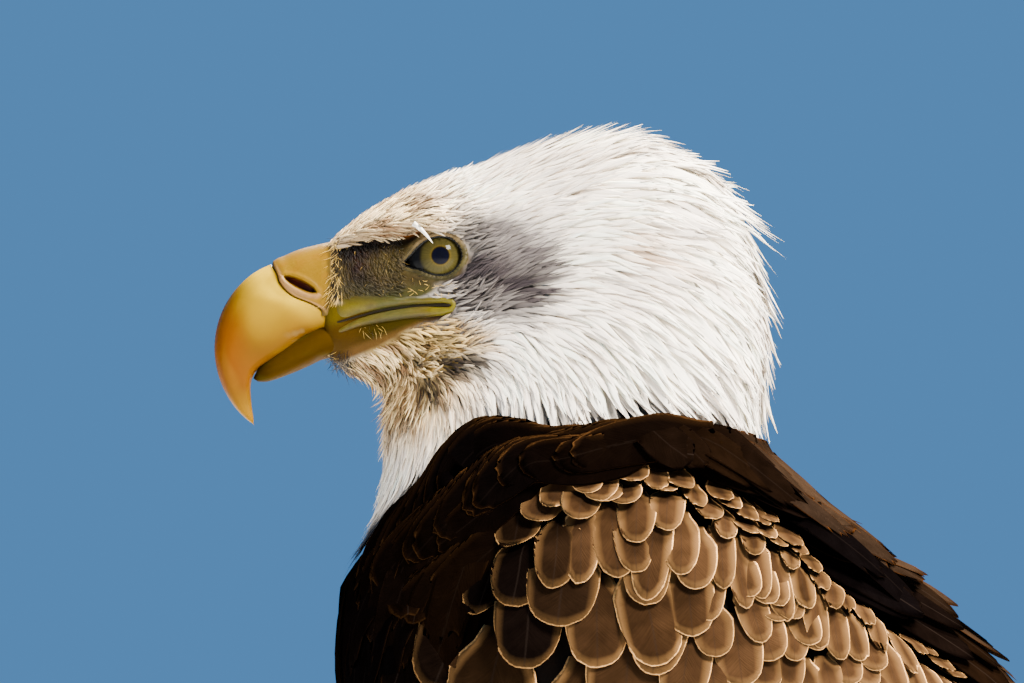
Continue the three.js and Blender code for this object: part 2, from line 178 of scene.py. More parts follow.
def in_edit_mode(piece, *steps, chosen=None, kind="vertices"):
    """Runs edit-mode steps on the whole of a piece, or on its chosen vertices or polygons."""
    pick(piece)
    bpy.ops.object.mode_set(mode="EDIT")
    bpy.ops.mesh.select_mode(type="VERT" if kind == "vertices" else "FACE")
    bpy.ops.mesh.select_all(action="SELECT" if chosen is None else "DESELECT")
    if chosen is not None:
        bpy.ops.object.mode_set(mode="OBJECT")
        getattr(piece.data, kind).foreach_set("select", chosen)
        bpy.ops.object.mode_set(mode="EDIT")
    for step in steps:
        step()
    bpy.ops.object.mode_set(mode="OBJECT")


def places(piece):
    co = np.empty(len(piece.data.vertices) * 3, np.float32)
    piece.data.vertices.foreach_get("co", co)
    return co.reshape(-1, 3).astype(float)


def put(piece, co):
    piece.data.vertices.foreach_set("co", np.asarray(co, np.float32).ravel())
    piece.data.update()


def outward(piece):
    found = np.empty(len(piece.data.vertices) * 3, np.float32)
    piece.data.vertex_normals.foreach_get("vector", found)
    return found.reshape(-1, 3).astype(float)


def modify(piece, kind, **settings):
    """Adds a modifier and applies it at once."""
    pick(piece)
    modifier = piece.modifiers.new(kind.title(), kind)
    for key, value in settings.items():
        setattr(modifier, key, value)
    bpy.ops.object.modifier_apply(modifier=modifier.name)


def paint(piece, colours, name="tint"):
    """Stores a linear colour for each vertex, or one colour for them all."""
    layer = piece.data.color_attributes.new(name, "FLOAT_COLOR", "POINT")
    rgba = np.ones((len(piece.data.vertices), 4), np.float32)
    rgba[:, :3] = linear(colours)
    layer.data.foreach_set("color", rgba.ravel())


def sheet(name, columns, rows, shape, closed=True):
    """A grid primitive bent into shape(u, v), which gives mm from the eye line; u and v run from 0 to 1."""
    deselect()
    bpy.ops.mesh.primitive_grid_add(x_subdivisions=columns, y_subdivisions=rows, size=1)
    piece = bpy.context.object
    piece.name = piece.data.name = name
    flat = places(piece)
    put(piece, to_world(shape(flat[:, 0] + 0.5, flat[:, 1] + 0.5)))
    if closed:
        in_edit_mode(
            piece,
            lambda: bpy.ops.mesh.remove_doubles(threshold=0.00002),
            lambda: bpy.ops.mesh.normals_make_consistent(inside=False),
        )
    piece.data.shade_smooth()
    return piece


def finish_piece(piece, material, slot, *nodes):
    """Gives a piece its material and its slot, and sets it on the bird in place of the named nodes."""
    piece.data.materials.clear()
    piece.data.materials.append(material)
    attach(piece, "root")
    if nodes:
        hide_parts(*nodes)
    return piece


# ---------- materials ----------
def wire(node, inputs):
    """Sets or links the sockets of a node."""
    for key, value in inputs.items():
        if isinstance(value, bpy.types.NodeSocket):
            node.id_data.links.new(value, node.inputs[key])
        else:
            node.inputs[key].default_value = value


def add_node(tree, kind, inputs=None, output=0, **settings):
    """Adds a node with its settings and links, and gives one of its outputs."""
    made = tree.nodes.new("ShaderNode" + kind)
    for key, value in settings.items():
        setattr(made, key, value)
    wire(made, inputs or {})
    return made.outputs[output]


def new_material(name, constants):
    """A material with one Principled shader, whose named sockets hold the given constants."""
    material = bpy.data.materials.new(name)
    material.use_nodes = True
    shader = material.node_tree.nodes["Principled BSDF"]
    wire(shader, constants)
    return material, material.node_tree, shader


def shaded(tree, colour, pattern, low, high, start=0.3, end=0.7):
    """A colour times low where a pattern is at its start, and times high where it is at its end."""
    shade = add_node(tree, "MapRange", {0: pattern, 1: start, 2: end, 3: low, 4: high})
    return add_node(tree, "Mix", {0: 1.0, 6: colour, 7: shade}, 2, data_type="RGBA", blend_type="MULTIPLY")


def hackle_material(name, roughness):
    """Fine white plumage: keratin barbs that lie along the shaft, so it shines softly in long streaks."""
    material, tree, shader = new_material(name, {"Roughness": roughness, "Specular IOR Level": 0.2})
    tint = add_node(tree, "Attribute", {}, "Color", attribute_name="tint")
    vane = add_node(tree, "UVMap", uv_map="vane")
    # Barbs under 0.1 mm apart are drawn as about seven streaks across a feather, or they would not show.
    stretch = add_node(tree, "Mapping", {0: vane, 3: (7.0, 1.4, 1.0)})
    streak = add_node(tree, "TexNoise", {"Vector": stretch, "Scale": 1.0, "Detail": 2.0})
    bump = add_node(tree, "Bump", {"Height": streak, "Strength": 0.25, "Distance": 0.0005})
    wire(shader, {"Base Color": shaded(tree, tint, streak, 0.8, 1.08), "Normal": bump})
    return material


def contour_material(name, fringe, shaft, roughness=0.7, glow=0.3, depth=3.0, gloss=0.0):
    """Contour plumage: a thin shaft, oblique barbs either side, and a worn pale fringe round the edge.

    The fringe is that many mm wide, and a soft glow of its colour reaches depth mm in from the edge.
    """
    # With an index near 1 the feathers are velvety, with no sheen at a slant.
    constants = {"Roughness": roughness, "Specular IOR Level": gloss, "IOR": 1.15}
    material, tree, shader = new_material(name, constants)
    tint, rim = (add_node(tree, "Attribute", {}, "Color", attribute_name=word) for word in ("tint", "rim"))
    edge = add_node(tree, "Attribute", {}, "Fac", attribute_name="edge")
    vane = add_node(tree, "UVMap", uv_map="vane")
    across, along, _ = add_node(tree, "SeparateXYZ", {0: vane}).node.outputs
    off_middle = add_node(tree, "Math", {0: across, 1: 0.5}, operation="SUBTRACT")
    off_shaft = add_node(tree, "Math", {0: off_middle}, operation="ABSOLUTE")
    # Barbs run outwards and forwards from the shaft, drawn coarse enough to show.
    slant = add_node(tree, "Math", {0: off_shaft, 1: -0.8, 2: along}, operation="MULTIPLY_ADD")
    out = add_node(tree, "Math", {0: off_shaft, 1: 2.5}, operation="MULTIPLY")
    rows = add_node(tree, "CombineXYZ", {0: out, 1: slant})
    stretch = add_node(tree, "Mapping", {0: rows, 3: (1.0, 40.0, 1.0)})
    barbs = add_node(tree, "TexNoise", {"Vector": stretch, "Scale": 1.0, "Detail": 3.0})
    where = add_node(tree, "TexCoord", {}, "Object")
    patch = add_node(tree, "TexNoise", {"Vector": where, "Scale": 160.0, "Detail": 2.0})
    body = shaded(tree, shaded(tree, tint, barbs, 0.8, 1.2), patch, 0.75, 1.2)
    # Single barbs reach in from the edge, so the fringe is ragged.
    ends = {0: barbs, 1: 1.6 * fringe, 2: -0.8 * fringe}
    ragged = add_node(tree, "Math", ends, operation="MULTIPLY_ADD")
    edge = add_node(tree, "Math", {0: edge, 1: ragged}, operation="ADD")
    # A painted glow of backlight, and over it the pale fringe, part wear and part painted backlight.
    for reach, start, most in ((depth, 0.0, glow), (1.3 * fringe, 0.55 * fringe, 0.95)):
        amount = add_node(tree, "MapRange", {0: edge, 1: start, 2: reach, 3: most, 4: 0.0})
        body = add_node(tree, "Mix", {0: amount, 6: body, 7: rim}, 2, data_type="RGBA")
    line = add_node(tree, "MapRange", {0: off_shaft, 1: 0.006, 2: 0.022, 3: shaft, 4: 0.0})
    body = add_node(tree, "Mix", {0: line, 6: body, 7: (0.012, 0.008, 0.006, 1)}, 2, data_type="RGBA")
    bump = add_node(tree, "Bump", {"Height": barbs, "Strength": 0.35, "Distance": 0.0005})
    wire(shader, {"Base Color": body, "Normal": bump})
    return material


def painted_material(name, grain, depth, roughness, patchy=0.12, constants=None):
    """Bare skin or horn: its colours are laid on by hand, over a fine grain of the given size in mm."""
    usual = {"Roughness": roughness, "Specular IOR Level": 0.25, "IOR": 1.3}
    material, tree, shader = new_material(name, usual | (constants or {}))
    tint = add_node(tree, "Attribute", {}, "Color", attribute_name="tint")
    where = add_node(tree, "TexCoord", {}, "Object")
    scale = 1 / (grain * MM)
    grains = add_node(tree, "TexNoise", {"Vector": where, "Scale": scale, "Detail": 4.0, "Roughness": 0.6})
    ends = {1: 0.3, 2: 0.7, 3: max(roughness - 0.07, 0), 4: roughness + 0.1}
    rough = add_node(tree, "MapRange", {0: grains, **ends})
    bump = add_node(tree, "Bump", {"Height": grains, "Strength": 0.5, "Distance": depth * MM})
    colour = shaded(tree, tint, grains, 1 - 1.2 * patchy, 1 + 0.8 * patchy)
    wire(shader, {"Base Color": colour, "Roughness": rough, "Normal": bump})
    return material


# ---------- settings ----------
def colour_setting(name, about, code):
    return bpy.props.FloatVectorProperty(
        name=name, description=about, subtype="COLOR", size=3, min=0, max=1, default=linear(code)
    )


def length_setting(name, about, mm):
    return bpy.props.FloatProperty(
        name=name, description=about, default=mm * MM, min=0, subtype="DISTANCE", unit="LENGTH", precision=4
    )


def power_setting(name, about, watts):
    return bpy.props.FloatProperty(name=name, description=about, default=watts, min=0, unit="POWER")


class PlumageSettings(bpy.types.PropertyGroup):
    """Colours and depth of the feathers."""

    white: colour_setting("White", "Head, neck and tail", "#fff0dc")
    cream: colour_setting("Cream", "Forehead and throat", "#deb55b")
    tan: colour_setting("Tan", "Streaks on the forehead and the stain behind the head", "#5f3510")
    # Painted shade: a grey laid on the white feathers behind the eye.
    cheek_shade: colour_setting("Cheek", "The grey patch behind the eye", "#332b2b")
    # The colour of the dark bristles, and of painted shade between and under the feathers of the throat and
    # jaw.
    gap: colour_setting("Gap", "Down between the feathers of the throat", "#160e08")
    # Brown and blackish are darker than the feathers' own brown: their colour with painted shade, most in
    # blackish.
    brown: colour_setting("Brown", "Body feathers", "#0b0502")
    blackish: colour_setting("Blackish", "Collar and the long quills", "#030202")
    russet: colour_setting("Russet", "Sunlit edges of the body feathers", "#2b1a0a")
    scallop: colour_setting("Scallop", "Middles of the small wing feathers", "#2b1c0f")
    # The pale edges of the small wing feathers: part wear and part painted backlight.
    fringe: colour_setting("Fringe", "Worn edges of the small wing feathers", "#d59d5e")
    depth: length_setting("Depth", "How far the body feathers stand over the skin", 9.0)


class FaceSettings(bpy.types.PropertyGroup):
    """Colours of the bill, the eyes and the bare face."""

    lore: colour_setting("Lore", "Bare skin before the eye", "#28170f")
    lore_olive: colour_setting("Olive", "Olive part of the lore", "#544721")
    under_brow: colour_setting("Under the brow", "Shaded skin under the ridge", "#080503")
    brow_skin: colour_setting("Brow skin", "Orange skin along the ridge", "#db7511")
    lid: colour_setting("Lid", "Ring of bare skin round the eye", "#504326")
    lip: colour_setting("Lip", "Yellow of the gape", "#473a02")
    lip_grey: colour_setting("Grey lip", "Thin part of the gape", "#353616")
    jaw: colour_setting("Jaw", "Bare strip under the gape", "#281f00")
    cere: colour_setting("Cere", "Soft skin over the base of the bill", "#694c00")
    nostril: colour_setting("Nostril", "Inside the nostril", "#370d00")
    rim: colour_setting("Nostril rim", "Pale edge under the nostril", "#8c6539")
    horn: colour_setting("Horn", "Upper bill", "#593800")
    # A painted highlight on the upper bill, next to the cere and on its upper front.
    horn_highlight: colour_setting("Pale horn", "Upper bill next to the cere", "#c59f00")
    # The horn's own darker tone along the front, with painted shade where the horn turns away from the light.
    horn_dark: colour_setting("Dark horn", "Upper bill along its front", "#653400")
    # The lower bill's horn colour darkened with painted shade, as its side lies in shade.
    lower: colour_setting("Lower bill", "Olive horn of the lower bill", "#352302")
    iris: colour_setting("Iris", "Pale olive yellow", "#393316")
    iris_radius: length_setting("Iris radius", "From the middle of the pupil", 6.75)
    pupil_radius: length_setting("Pupil radius", "In bright light", 2.6)


class FeetSettings(bpy.types.PropertyGroup):
    """Colours of the feet."""

    scale: colour_setting("Scales", "Yellow horny scales", "#996c0d")
    # Painted shade in the creases between the scales.
    crease_shade: colour_setting("Creases", "Skin between the scales", "#69490b")
    claw: colour_setting("Claws", "Black horn", "#0f0c08")


class StageSettings(bpy.types.PropertyGroup):
    """The floor, the light and the camera."""

    floor: colour_setting("Floor", "Pale floor", "#e6e8ea")
    air: colour_setting("Background", "Pale light all round", "#66aaf2")
    key: power_setting("Key", "Large soft lamp, high behind the bird", 570.0)
    fill: power_setting("Fill", "Soft lamp beside the camera", 500.0)
    distance: length_setting("Distance", "From the camera to the bird", 3000.0)


# ---------- the face, in figures ----------
# Angle round the eye in degrees (0 towards the tail, 90 up) and the opening's reach there in mm: an almond
# with its long corner towards the bill.
OPENING = curve(
    (0, 6.8), (45, 6.4), (90, 6.0), (127, 6.4), (154, 7.3), (175, 9.0), (191, 11.7), (204, 9.6), (216, 7.5),
    (240, 6.3), (270, 6.0), (315, 6.2), (345, 6.6), (360, 6.8),
)
EYE_AT = np.array([0.0, -1.3])  # the middle of the iris, in side view
BROW_EDGE = curve((-34, 2.0), (-29, 4.0), (-17.5, 5.3), (-7.8, 6.6), (-2.2, 8.75), (6, 10.5))
CORNEA_RADIUS = 8.5
SCLERA_RADIUS = 11.5
IRIS_REACH = 6.6
EYEBALL_REACH = 11.2  # mm from the middle of the iris to the widest ring of the eyeball
EYE_RAMP = 8.0  # mm from the pupil's middle to the end of the eye's colours


def eye_face(radius):
    """How far out the eye's surface stands, at a radius from its middle."""
    drop = CORNEA_RADIUS - math.sqrt(CORNEA_RADIUS**2 - IRIS_REACH**2)
    dome = EYE_FRONT - CORNEA_RADIUS + np.sqrt(np.maximum(CORNEA_RADIUS**2 - np.minimum(radius, 8.4) ** 2, 0))
    centre = EYE_FRONT - drop - math.sqrt(SCLERA_RADIUS**2 - IRIS_REACH**2)
    white = centre + np.sqrt(np.maximum(SCLERA_RADIUS**2 - np.minimum(radius, 11.4) ** 2, 0))
    return np.where(radius < IRIS_REACH, dome, white)


# The lips in side view: place, then half their height.
UPPER_LIP = [(-37, -18.1, 4.0), (-30, -17.3, 3.5), (-24.7, -16, 2.9), (-17.5, -15.4, 1.9), (-11, -15, 1.4)]
UPPER_LIP += [(-5.3, -15, 1.2), (0, -14.9, 1.1)]
LIP_CORNER = [(3.2, -15.4, 1.1), (4.2, -16.8, 1.0), (3.0, -18.2, 1.1)]
LOWER_LIP = [(0, -18.6, 1.35), (-5.3, -18.7, 1.8), (-11, -19.2, 1.8), (-17.5, -20.1, 1.65)]
LOWER_LIP += [(-24.7, -21.6, 1.35), (-31, -24, 1.0), (-37, -26.4, 0.8)]
MOUTH = [(-37, -22.6), (-30, -20.9), (-24.7, -19.5), (-17.5, -17.9), (-8, -16.9), (0, -16.6), (3, -16.7)]


def oval(x, z, middle, across, tall, soft=0.35):
    """1 inside an ellipse in side view, falling to 0 just outside it."""
    reach = np.hypot((x - middle[0]) / across, (z - middle[1]) / tall)
    return 1 - smooth(1 - soft, 1 + soft, reach)


def round_eye(points):
    """Distance from the middle of the eye in side view, and the angle round it in degrees."""
    x, z = points[..., 0] - EYE_AT[0], points[..., 2] - EYE_AT[1]
    return np.hypot(x, z), np.degrees(np.arctan2(z, x)) % 360


def bare(points):
    """How bare the face is, from 0, feathered, to 1."""
    x, z = points[..., 0], points[..., 2]
    ragged = 0.7 * mottle(points, 1.8, 15)
    x, z = x + ragged, z + 0.5 * ragged
    lore = oval(x, z, (-23, -6), 16.5, 11.5, 0.12)
    lore = np.maximum(lore, oval(x, z, (-11, -10), 10.5, 4.6, 0.15))
    lore = np.maximum(lore, oval(x, z, (-10.5, 2.5), 6.5, 4.5, 0.15))
    socket = oval(x, z, (-1.5, -1.8), 10.3, 8.2, 0.12)
    jaw_line = curve((-38, -28), (-30, -25), (-20, -22), (-10, -19), (4, -17))(x)
    jaw_tall = curve((-38, 8.6), (-28, 8.4), (-18, 7.2), (-9, 4.8), (0, 3), (4, 2.6))(x)
    jaw = (1 - smooth(0.85, 1.1, np.abs(z - jaw_line) / jaw_tall)) * (1 - smooth(3, 6, x))
    lips = oval(x, z, (-17, -18.5), 21.5, 4.2, 0.1)
    base = smooth(-31.5, -33.5, x) * smooth(-31, -29, z) * smooth(-10, -13, z)
    jaw = np.maximum(np.maximum(jaw, lips), base)
    above = smooth(-0.5, 0.7, z - BROW_EDGE(x)) * (1 - smooth(-5, -1, x))
    found = np.maximum(np.maximum(lore, jaw), socket) * (1 - above)
    return found * (x < 20)


# The line round the neck where white gives way to brown.
COLLAR = curve(
    (-24, -86), (-18, -80), (-5, -68), (14, -53), (34, -54), (56, -52), (81, -50), (95, -56), (108, -62)
)


def over_collar(points):
    """How far places are above the line where white gives way to brown, in mm."""
    return points[..., 2] - COLLAR(points[..., 0])


def tail_zone(points):
    """1 on the root of the tail and its white coverts, from a little behind the rump."""
    along = (points - TAIL_ROOT) @ TAIL_AHEAD
    over = (points - TAIL_ROOT) @ TAIL_UP
    return smooth(24, 40, along) * smooth(30, 22, over) * smooth(44, 38, np.abs(points[..., 1]))


def white_zone(points):
    """1 on the white head and neck and on the white tail, 0 on the brown body."""
    return np.maximum(smooth(-3, 3, over_collar(points)) * (points[..., 0] < 118), tail_zone(points))


def plumage(points):
    """The colour of the feathers at any place; the skin under them takes the same one, darker."""
    s = bpy.context.scene.eagle_plumage
    x, z = points[..., 0], points[..., 2]

    def flecks(stretch, grain, seed, low, high):
        return smooth(low, high, mottle(points * (stretch, 1, 1), grain, seed))

    def streaks(low, high):
        return flecks(0.35, 3.2, 11, low, high)

    forehead = oval(x, z, (-22, 12), 26, 15, 0.5)
    under_edge = hump(z - BROW_EDGE(x), 0.5, 2.2) * smooth(-40, -34, x) * (1 - smooth(-4, 2, x))
    jowl = oval(x, z + 0.25 * x, (-8, -25), 24, 7, 0.4)
    throat = oval(x, z, (-14, -40), 24, 20, 0.5)
    chin = oval(x, z + 0.3 * x, (-24, -41), 14, 5, 0.5)
    # Under the gape and below the jaw the feathers get painted shade, where the jaw's tufts overhang them.
    shade_under_gape = oval(x, z + 0.3 * x, (-6, -29), 18, 6.5, 0.4)
    blotches = mottle(points * (0.5, 1, 1), 4.5, 12)
    # The grey patch behind the eye is painted shade, with flecks of painted shade between its feathers.
    cheek_shade = oval(x, z + 0.22 * x, (19, -1.5), 20, 17, 0.3) * (0.93 + 0.07 * blotches)
    cheek_shade = np.maximum(cheek_shade, 0.7 * oval(x, z, (8, -14), 18, 7, 0.4))
    shade = np.maximum(oval(x, z + 0.1 * x, (5, -35.5), 14, 4.5, 0.4), oval(x, z, (-4, -44), 4.5, 8, 0.5))
    stain = oval(x, z + 0.5 * (x - 70), (70, -4), 13, 5, 0.8)
    return blend(
        s.white,
        (s.cream, 0.65 * forehead),
        (s.tan, 0.75 * forehead * streaks(0.1, 0.8)),
        (s.tan, 0.6 * under_edge),
        (s.cream, 0.8 * jowl),
        (s.tan, 0.7 * jowl * streaks(-0.3, 0.6)),
        (s.cream, 0.75 * throat),
        (s.tan, 0.75 * throat * streaks(-0.1, 0.7)),
        (s.tan, 0.75 * chin * streaks(-0.8, 0.3)),
        (s.gap, 0.6 * shade_under_gape * flecks(0.4, 2.4, 13, -0.5, 0.6)),
        (s.cheek_shade, cheek_shade),
        (s.gap, 0.16 * cheek_shade * flecks(0.3, 2.6, 14, 0.2, 0.8)),
        (s.gap, 0.95 * shade * streaks(-0.9, 0.1)),
        # Soft grey patches at random over the white from the eye back: painted shade.
        ("#948881", 0.3 * flecks(0.6, 13, 17, 0.0, 0.9) * smooth(0, 30, x)),
        ("#9f7544", 0.75 * stain * streaks(-0.4, 0.7)),
        # Below the collar the brown carries painted shade.
        (blend(s.brown, (s.blackish, 0.5 + 0.5 * mottle(points, 30, 5))), 1 - white_zone(points)),
    )


def coat_room(points):
    """How deep the coat is meant to be, in mm: almost nothing round the bill, most on the body."""
    from_bill = np.hypot(points[:, 0] + 37, points[:, 2] + 10)
    deep = bpy.context.scene.eagle_plumage.depth / MM
    return curve((0, 0.3), (30, 0.7), (55, 1.8), (80, 3.6), (100, 0.8 * deep), (130, deep))(from_bill)


# ---------- the skin ----------
FLESH = ("head", "neck", "trunk") + tuple(
    f"{part}_{word}{end}"
    for word, _ in SIDES
    for part, end in (("wing", "_coverts"), ("wing", "_secondaries"), ("thigh", ""))
)
SKIN_GRAIN = 2.7  # mm between the skin's points, before the face is refined
OUTSIDE = 200.0  # mm from the middle plane, beyond every part of the bird


def copy_nodes(name, nodes):
    """One new object with copies of frame nodes joined in it."""
    copies = []
    for node in nodes:
        made = bpy.data.objects.new(name, frame["nodes"][node].data.copy())
        bpy.context.collection.objects.link(made)
        copies.append(made)
    pick(*copies)
    if len(copies) > 1:
        bpy.ops.object.join()
    piece = bpy.context.object
    piece.name = piece.data.name = name
    in_edit_mode(piece, lambda: bpy.ops.mesh.remove_doubles(threshold=0.00001))
    return piece


def remesh(piece, grain, grow):
    """Melts a piece into one even closed skin and drops any pocket inside it."""
    put(piece, places(piece) + outward(piece) * grow * MM)
    modify(piece, "REMESH", mode="VOXEL", voxel_size=grain * MM)
    top = np.zeros(len(piece.data.vertices), bool)
    top[places(piece)[:, 2].argmax()] = True
    in_edit_mode(
        piece,
        bpy.ops.mesh.select_linked,
        lambda: bpy.ops.mesh.select_all(action="INVERT"),
        lambda: bpy.ops.mesh.delete(type="VERT"),
        chosen=top,
    )
    piece.data.shade_smooth()


def relax(piece, values, times, share=0.5, where=None):
    """Evens out a value at each vertex with its neighbours."""
    ends = np.empty(len(piece.data.edges) * 2, np.int32)
    piece.data.edges.foreach_get("vertices", ends)
    one, two = ends.reshape(-1, 2).T
    count = len(piece.data.vertices)
    near = np.maximum(np.bincount(one, minlength=count) + np.bincount(two, minlength=count), 1)
    flat = values.reshape(count, -1).copy()
    pull = share if where is None else (share * where)[:, None]
    for _ in range(times):
        total = [np.bincount(one, v[two], count) + np.bincount(two, v[one], count) for v in flat.T]
        flat += pull * (np.stack(total, axis=1) / near[:, None] - flat)
    return flat.reshape(values.shape)


class Ground:
    """A surface that feathers lie on: finds the nearest place on it, how it faces, and the room over it."""

    def __init__(self, piece, room):
        mesh = piece.data
        mesh.calc_loop_triangles()
        corners = np.empty(len(mesh.loop_triangles) * 3, np.int32)
        mesh.loop_triangles.foreach_get("vertices", corners)
        self.corners = corners.reshape(-1, 3)
        self.at = to_eye_line(places(piece))
        self.facing = outward(piece)
        self.room = room
        self.tree = BVHTree.FromPolygons(self.at.tolist(), self.corners.tolist(), all_triangles=True)

    def nearest(self, points):
        """The nearest places, the way the surface faces there, and the room over it."""
        hits = [self.tree.find_nearest(p) for p in np.asarray(points).tolist()]
        at = np.array([tuple(h[0]) for h in hits])
        a, b, c = self.corners[np.array([h[2] for h in hits])].T
        side_b, side_c, inner = self.at[b] - self.at[a], self.at[c] - self.at[a], at - self.at[a]
        bb, cc, bc = (side_b**2).sum(1), (side_c**2).sum(1), (side_b * side_c).sum(1)
        pb, pc = (inner * side_b).sum(1), (inner * side_c).sum(1)
        whole = np.maximum(bb * cc - bc * bc, 1e-12)
        share_b, share_c = (cc * pb - bc * pc) / whole, (bb * pc - bc * pb) / whole
        shares = np.clip(np.stack([1 - share_b - share_c, share_b, share_c], 1), 0, 1)
        facing = (self.facing[np.stack([a, b, c], 1)] * shares[..., None]).sum(1)
        room = (self.room[np.stack([a, b, c], 1)] * shares).sum(1)
        return at, unit(facing), room

    def side_view(self, x, z, side):
        """The outermost place over each point of a side view."""
        found = []
        for px, pz in zip(x, z):
            hit = self.tree.ray_cast((px, side * OUTSIDE, pz), (0, -side, 0))[0]
            found.append(tuple(hit) if hit else (px, 0.0, pz))
        return np.array(found)


GROUND = {}


def make_skin():
    """One skin over the whole bird, with the folds of the face in it."""
    piece = copy_nodes("skin", FLESH + ("eye_left", "eye_right"))
    remesh(piece, SKIN_GRAIN, 0.5)
    outer = relax(piece, places(piece), 4)
    put(piece, outer)
    facing = outward(piece)
    points = to_eye_line(outer)

    # The coat is nowhere deeper than about a third of the body under it.
    solid = Ground(piece, np.zeros(len(points)))
    thick = []
    for at, way in zip(points - facing * 0.6, -facing):
        hit = solid.tree.ray_cast(at, way)[3]
        thick.append(hit if hit else 60.0)
    room = np.minimum(coat_room(points), 0.33 * np.array(thick))
    room = np.where(zones(points) == WING, np.minimum(room, 5.0), room)
    room = np.maximum(relax(piece, room, 12, 0.6), 0.25)
    put(piece, relax(piece, outer - facing * room[:, None] * MM, 3))

    # Room is kept in a colour layer, so that it is carried along when the face is refined.
    paint(piece, np.repeat(room[:, None] / 100, 3, 1), "room")
    middles = np.empty(len(piece.data.polygons) * 3, np.float32)
    piece.data.polygons.foreach_get("center", middles)
    x, y, z = to_eye_line(middles.reshape(-1, 3)).T
    face = (x < 15) & (z > -40) & (z < 18) & (np.abs(y) > 6)
    in_edit_mode(piece, lambda: bpy.ops.mesh.subdivide(number_cuts=3), chosen=face, kind="polygons")
    layer = piece.data.color_attributes["room"]
    kept = np.empty(len(piece.data.vertices) * 4, np.float32)
    layer.data.foreach_get("color", kept)
    room = kept.reshape(-1, 4)[:, 0].astype(float) * 100
    piece.data.color_attributes.remove(layer)

    points = to_eye_line(places(piece))
    x, y, z = points.T
    fine = np.where((x < 17) & (z > -42) & (z < 20), 1.0, 0.0)
    points = relax(piece, points, 14, 0.5, fine)
    put(piece, to_world(points))
    base = Ground(piece, room)
    margins = {}
    turn = np.radians(np.arange(0, 361, 5))
    reach = OPENING(np.degrees(turn))
    for _, side in SIDES:
        over = base.side_view(EYE_AT[0] + reach * np.cos(turn), EYE_AT[1] + reach * np.sin(turn), side)
        margins[side] = np.maximum(eye_face(reach) + 0.35, np.abs(over[:, 1]) + 0.2)
        margins[side][-1] = margins[side][0]

    x, y, z = points.T
    stands = np.abs(y)
    side = np.sign(y)
    near = smooth(7, 12, stands) * fine
    # The ridge of the brow hangs over the lore with a sharp lower edge.
    over_brow = z - BROW_EDGE(x)
    window = smooth(-37, -30, x) * (1 - smooth(-4, 4, x))
    relief = 3.0 * smooth(-0.2, 1.4, over_brow) * (1 - smooth(4, 14, over_brow)) * window
    relief = relief - 1.1 * hump(over_brow, -2.0, 2.2) * window
    # Wrinkles run down the lore, and a fold joins the eye's corner to the gape.
    lore = oval(x, z, (-22, -6), 16, 10, 0.3)
    relief = relief + 0.22 * lore * mottle(points * (1.2, 0.5, 0.9), 2.4, 21)
    relief = relief + 0.1 * lore * mottle(points, 0.9, 22)
    relief = relief - 0.5 * hump(z + 10.5 + 0.15 * x, 0, 1.0) * smooth(-30, -24, x) * (1 - smooth(-12, -6, x))
    relief = relief + 0.5 * hump(z + 13.4, 0, 1.5) * smooth(-34, -28, x) * (1 - smooth(-2, 4, x))
    # The jaw stands out as a smooth strip under the lips.
    jaw_line = curve((-38, -29), (-26, -26), (-12, -22.5), (2, -19))
    jaw = hump(z - jaw_line(x), 0, 3.0) * (1 - smooth(-12, -2, x))
    relief = relief + 0.9 * jaw
    stands = stands + relief

    radius, angle = round_eye(points)
    out = radius - OPENING(angle)
    knots = np.degrees(turn)
    margin = np.where(side < 0, np.interp(angle, knots, margins[-1]), np.interp(angle, knots, margins[1]))
    upper = smooth(20, 60, angle) * (1 - smooth(150, 185, angle))
    lower = smooth(195, 215, angle) * (1 - smooth(320, 350, angle))
    lid = margin + 0.5 * hump(out, 0.9, 0.8) + upper * (0.9 * hump(out, 2.6, 1.1) - 0.3 * hump(out, 1.6, 0.5))
    lid = lid + lower * (0.75 * hump(out, 2.0, 0.9) - 0.45 * hump(out, 3.5, 0.6) - 0.4 * hump(out, 0.7, 0.4))
    beads = 0.16 * np.sin(angle * math.pi / 180 * 38) * hump(out, 1.5, 0.7) * upper
    lid = lid + beads
    pull = np.exp(-((np.maximum(out - 0.6, 0) / 2.8) ** 2))
    outside = stands + (lid - stands) * pull
    sunk = np.minimum(eye_face(radius), margin) - 1.1 * smooth(0, 0.7, -out)
    stands = np.where(out > 0, outside, sunk)
    moved = points.copy()
    moved[:, 1] = y + (side * stands - y) * near
    moved = relax(piece, moved, 1, 0.35, fine)
    put(piece, to_world(moved))
    piece.data.shade_smooth()
    GROUND["skin"] = Ground(piece, room)
    GROUND["skin"].zone = zones(moved)
    GROUND["margins"] = (knots, margins)

    paint(piece, skin_colour(moved))
    # Thin living skin: soft, a little oily, full of fine pores and wrinkles.
    glow = {
        "Subsurface Weight": 0.04,
        "Subsurface Radius": (0.002, 0.001, 0.0005),
        "Specular IOR Level": 0.05,
    }
    material = painted_material("bare_face_skin", 0.5, 0.25, 0.55, constants=glow)
    finish_piece(piece, material, "face_skin", *FLESH)


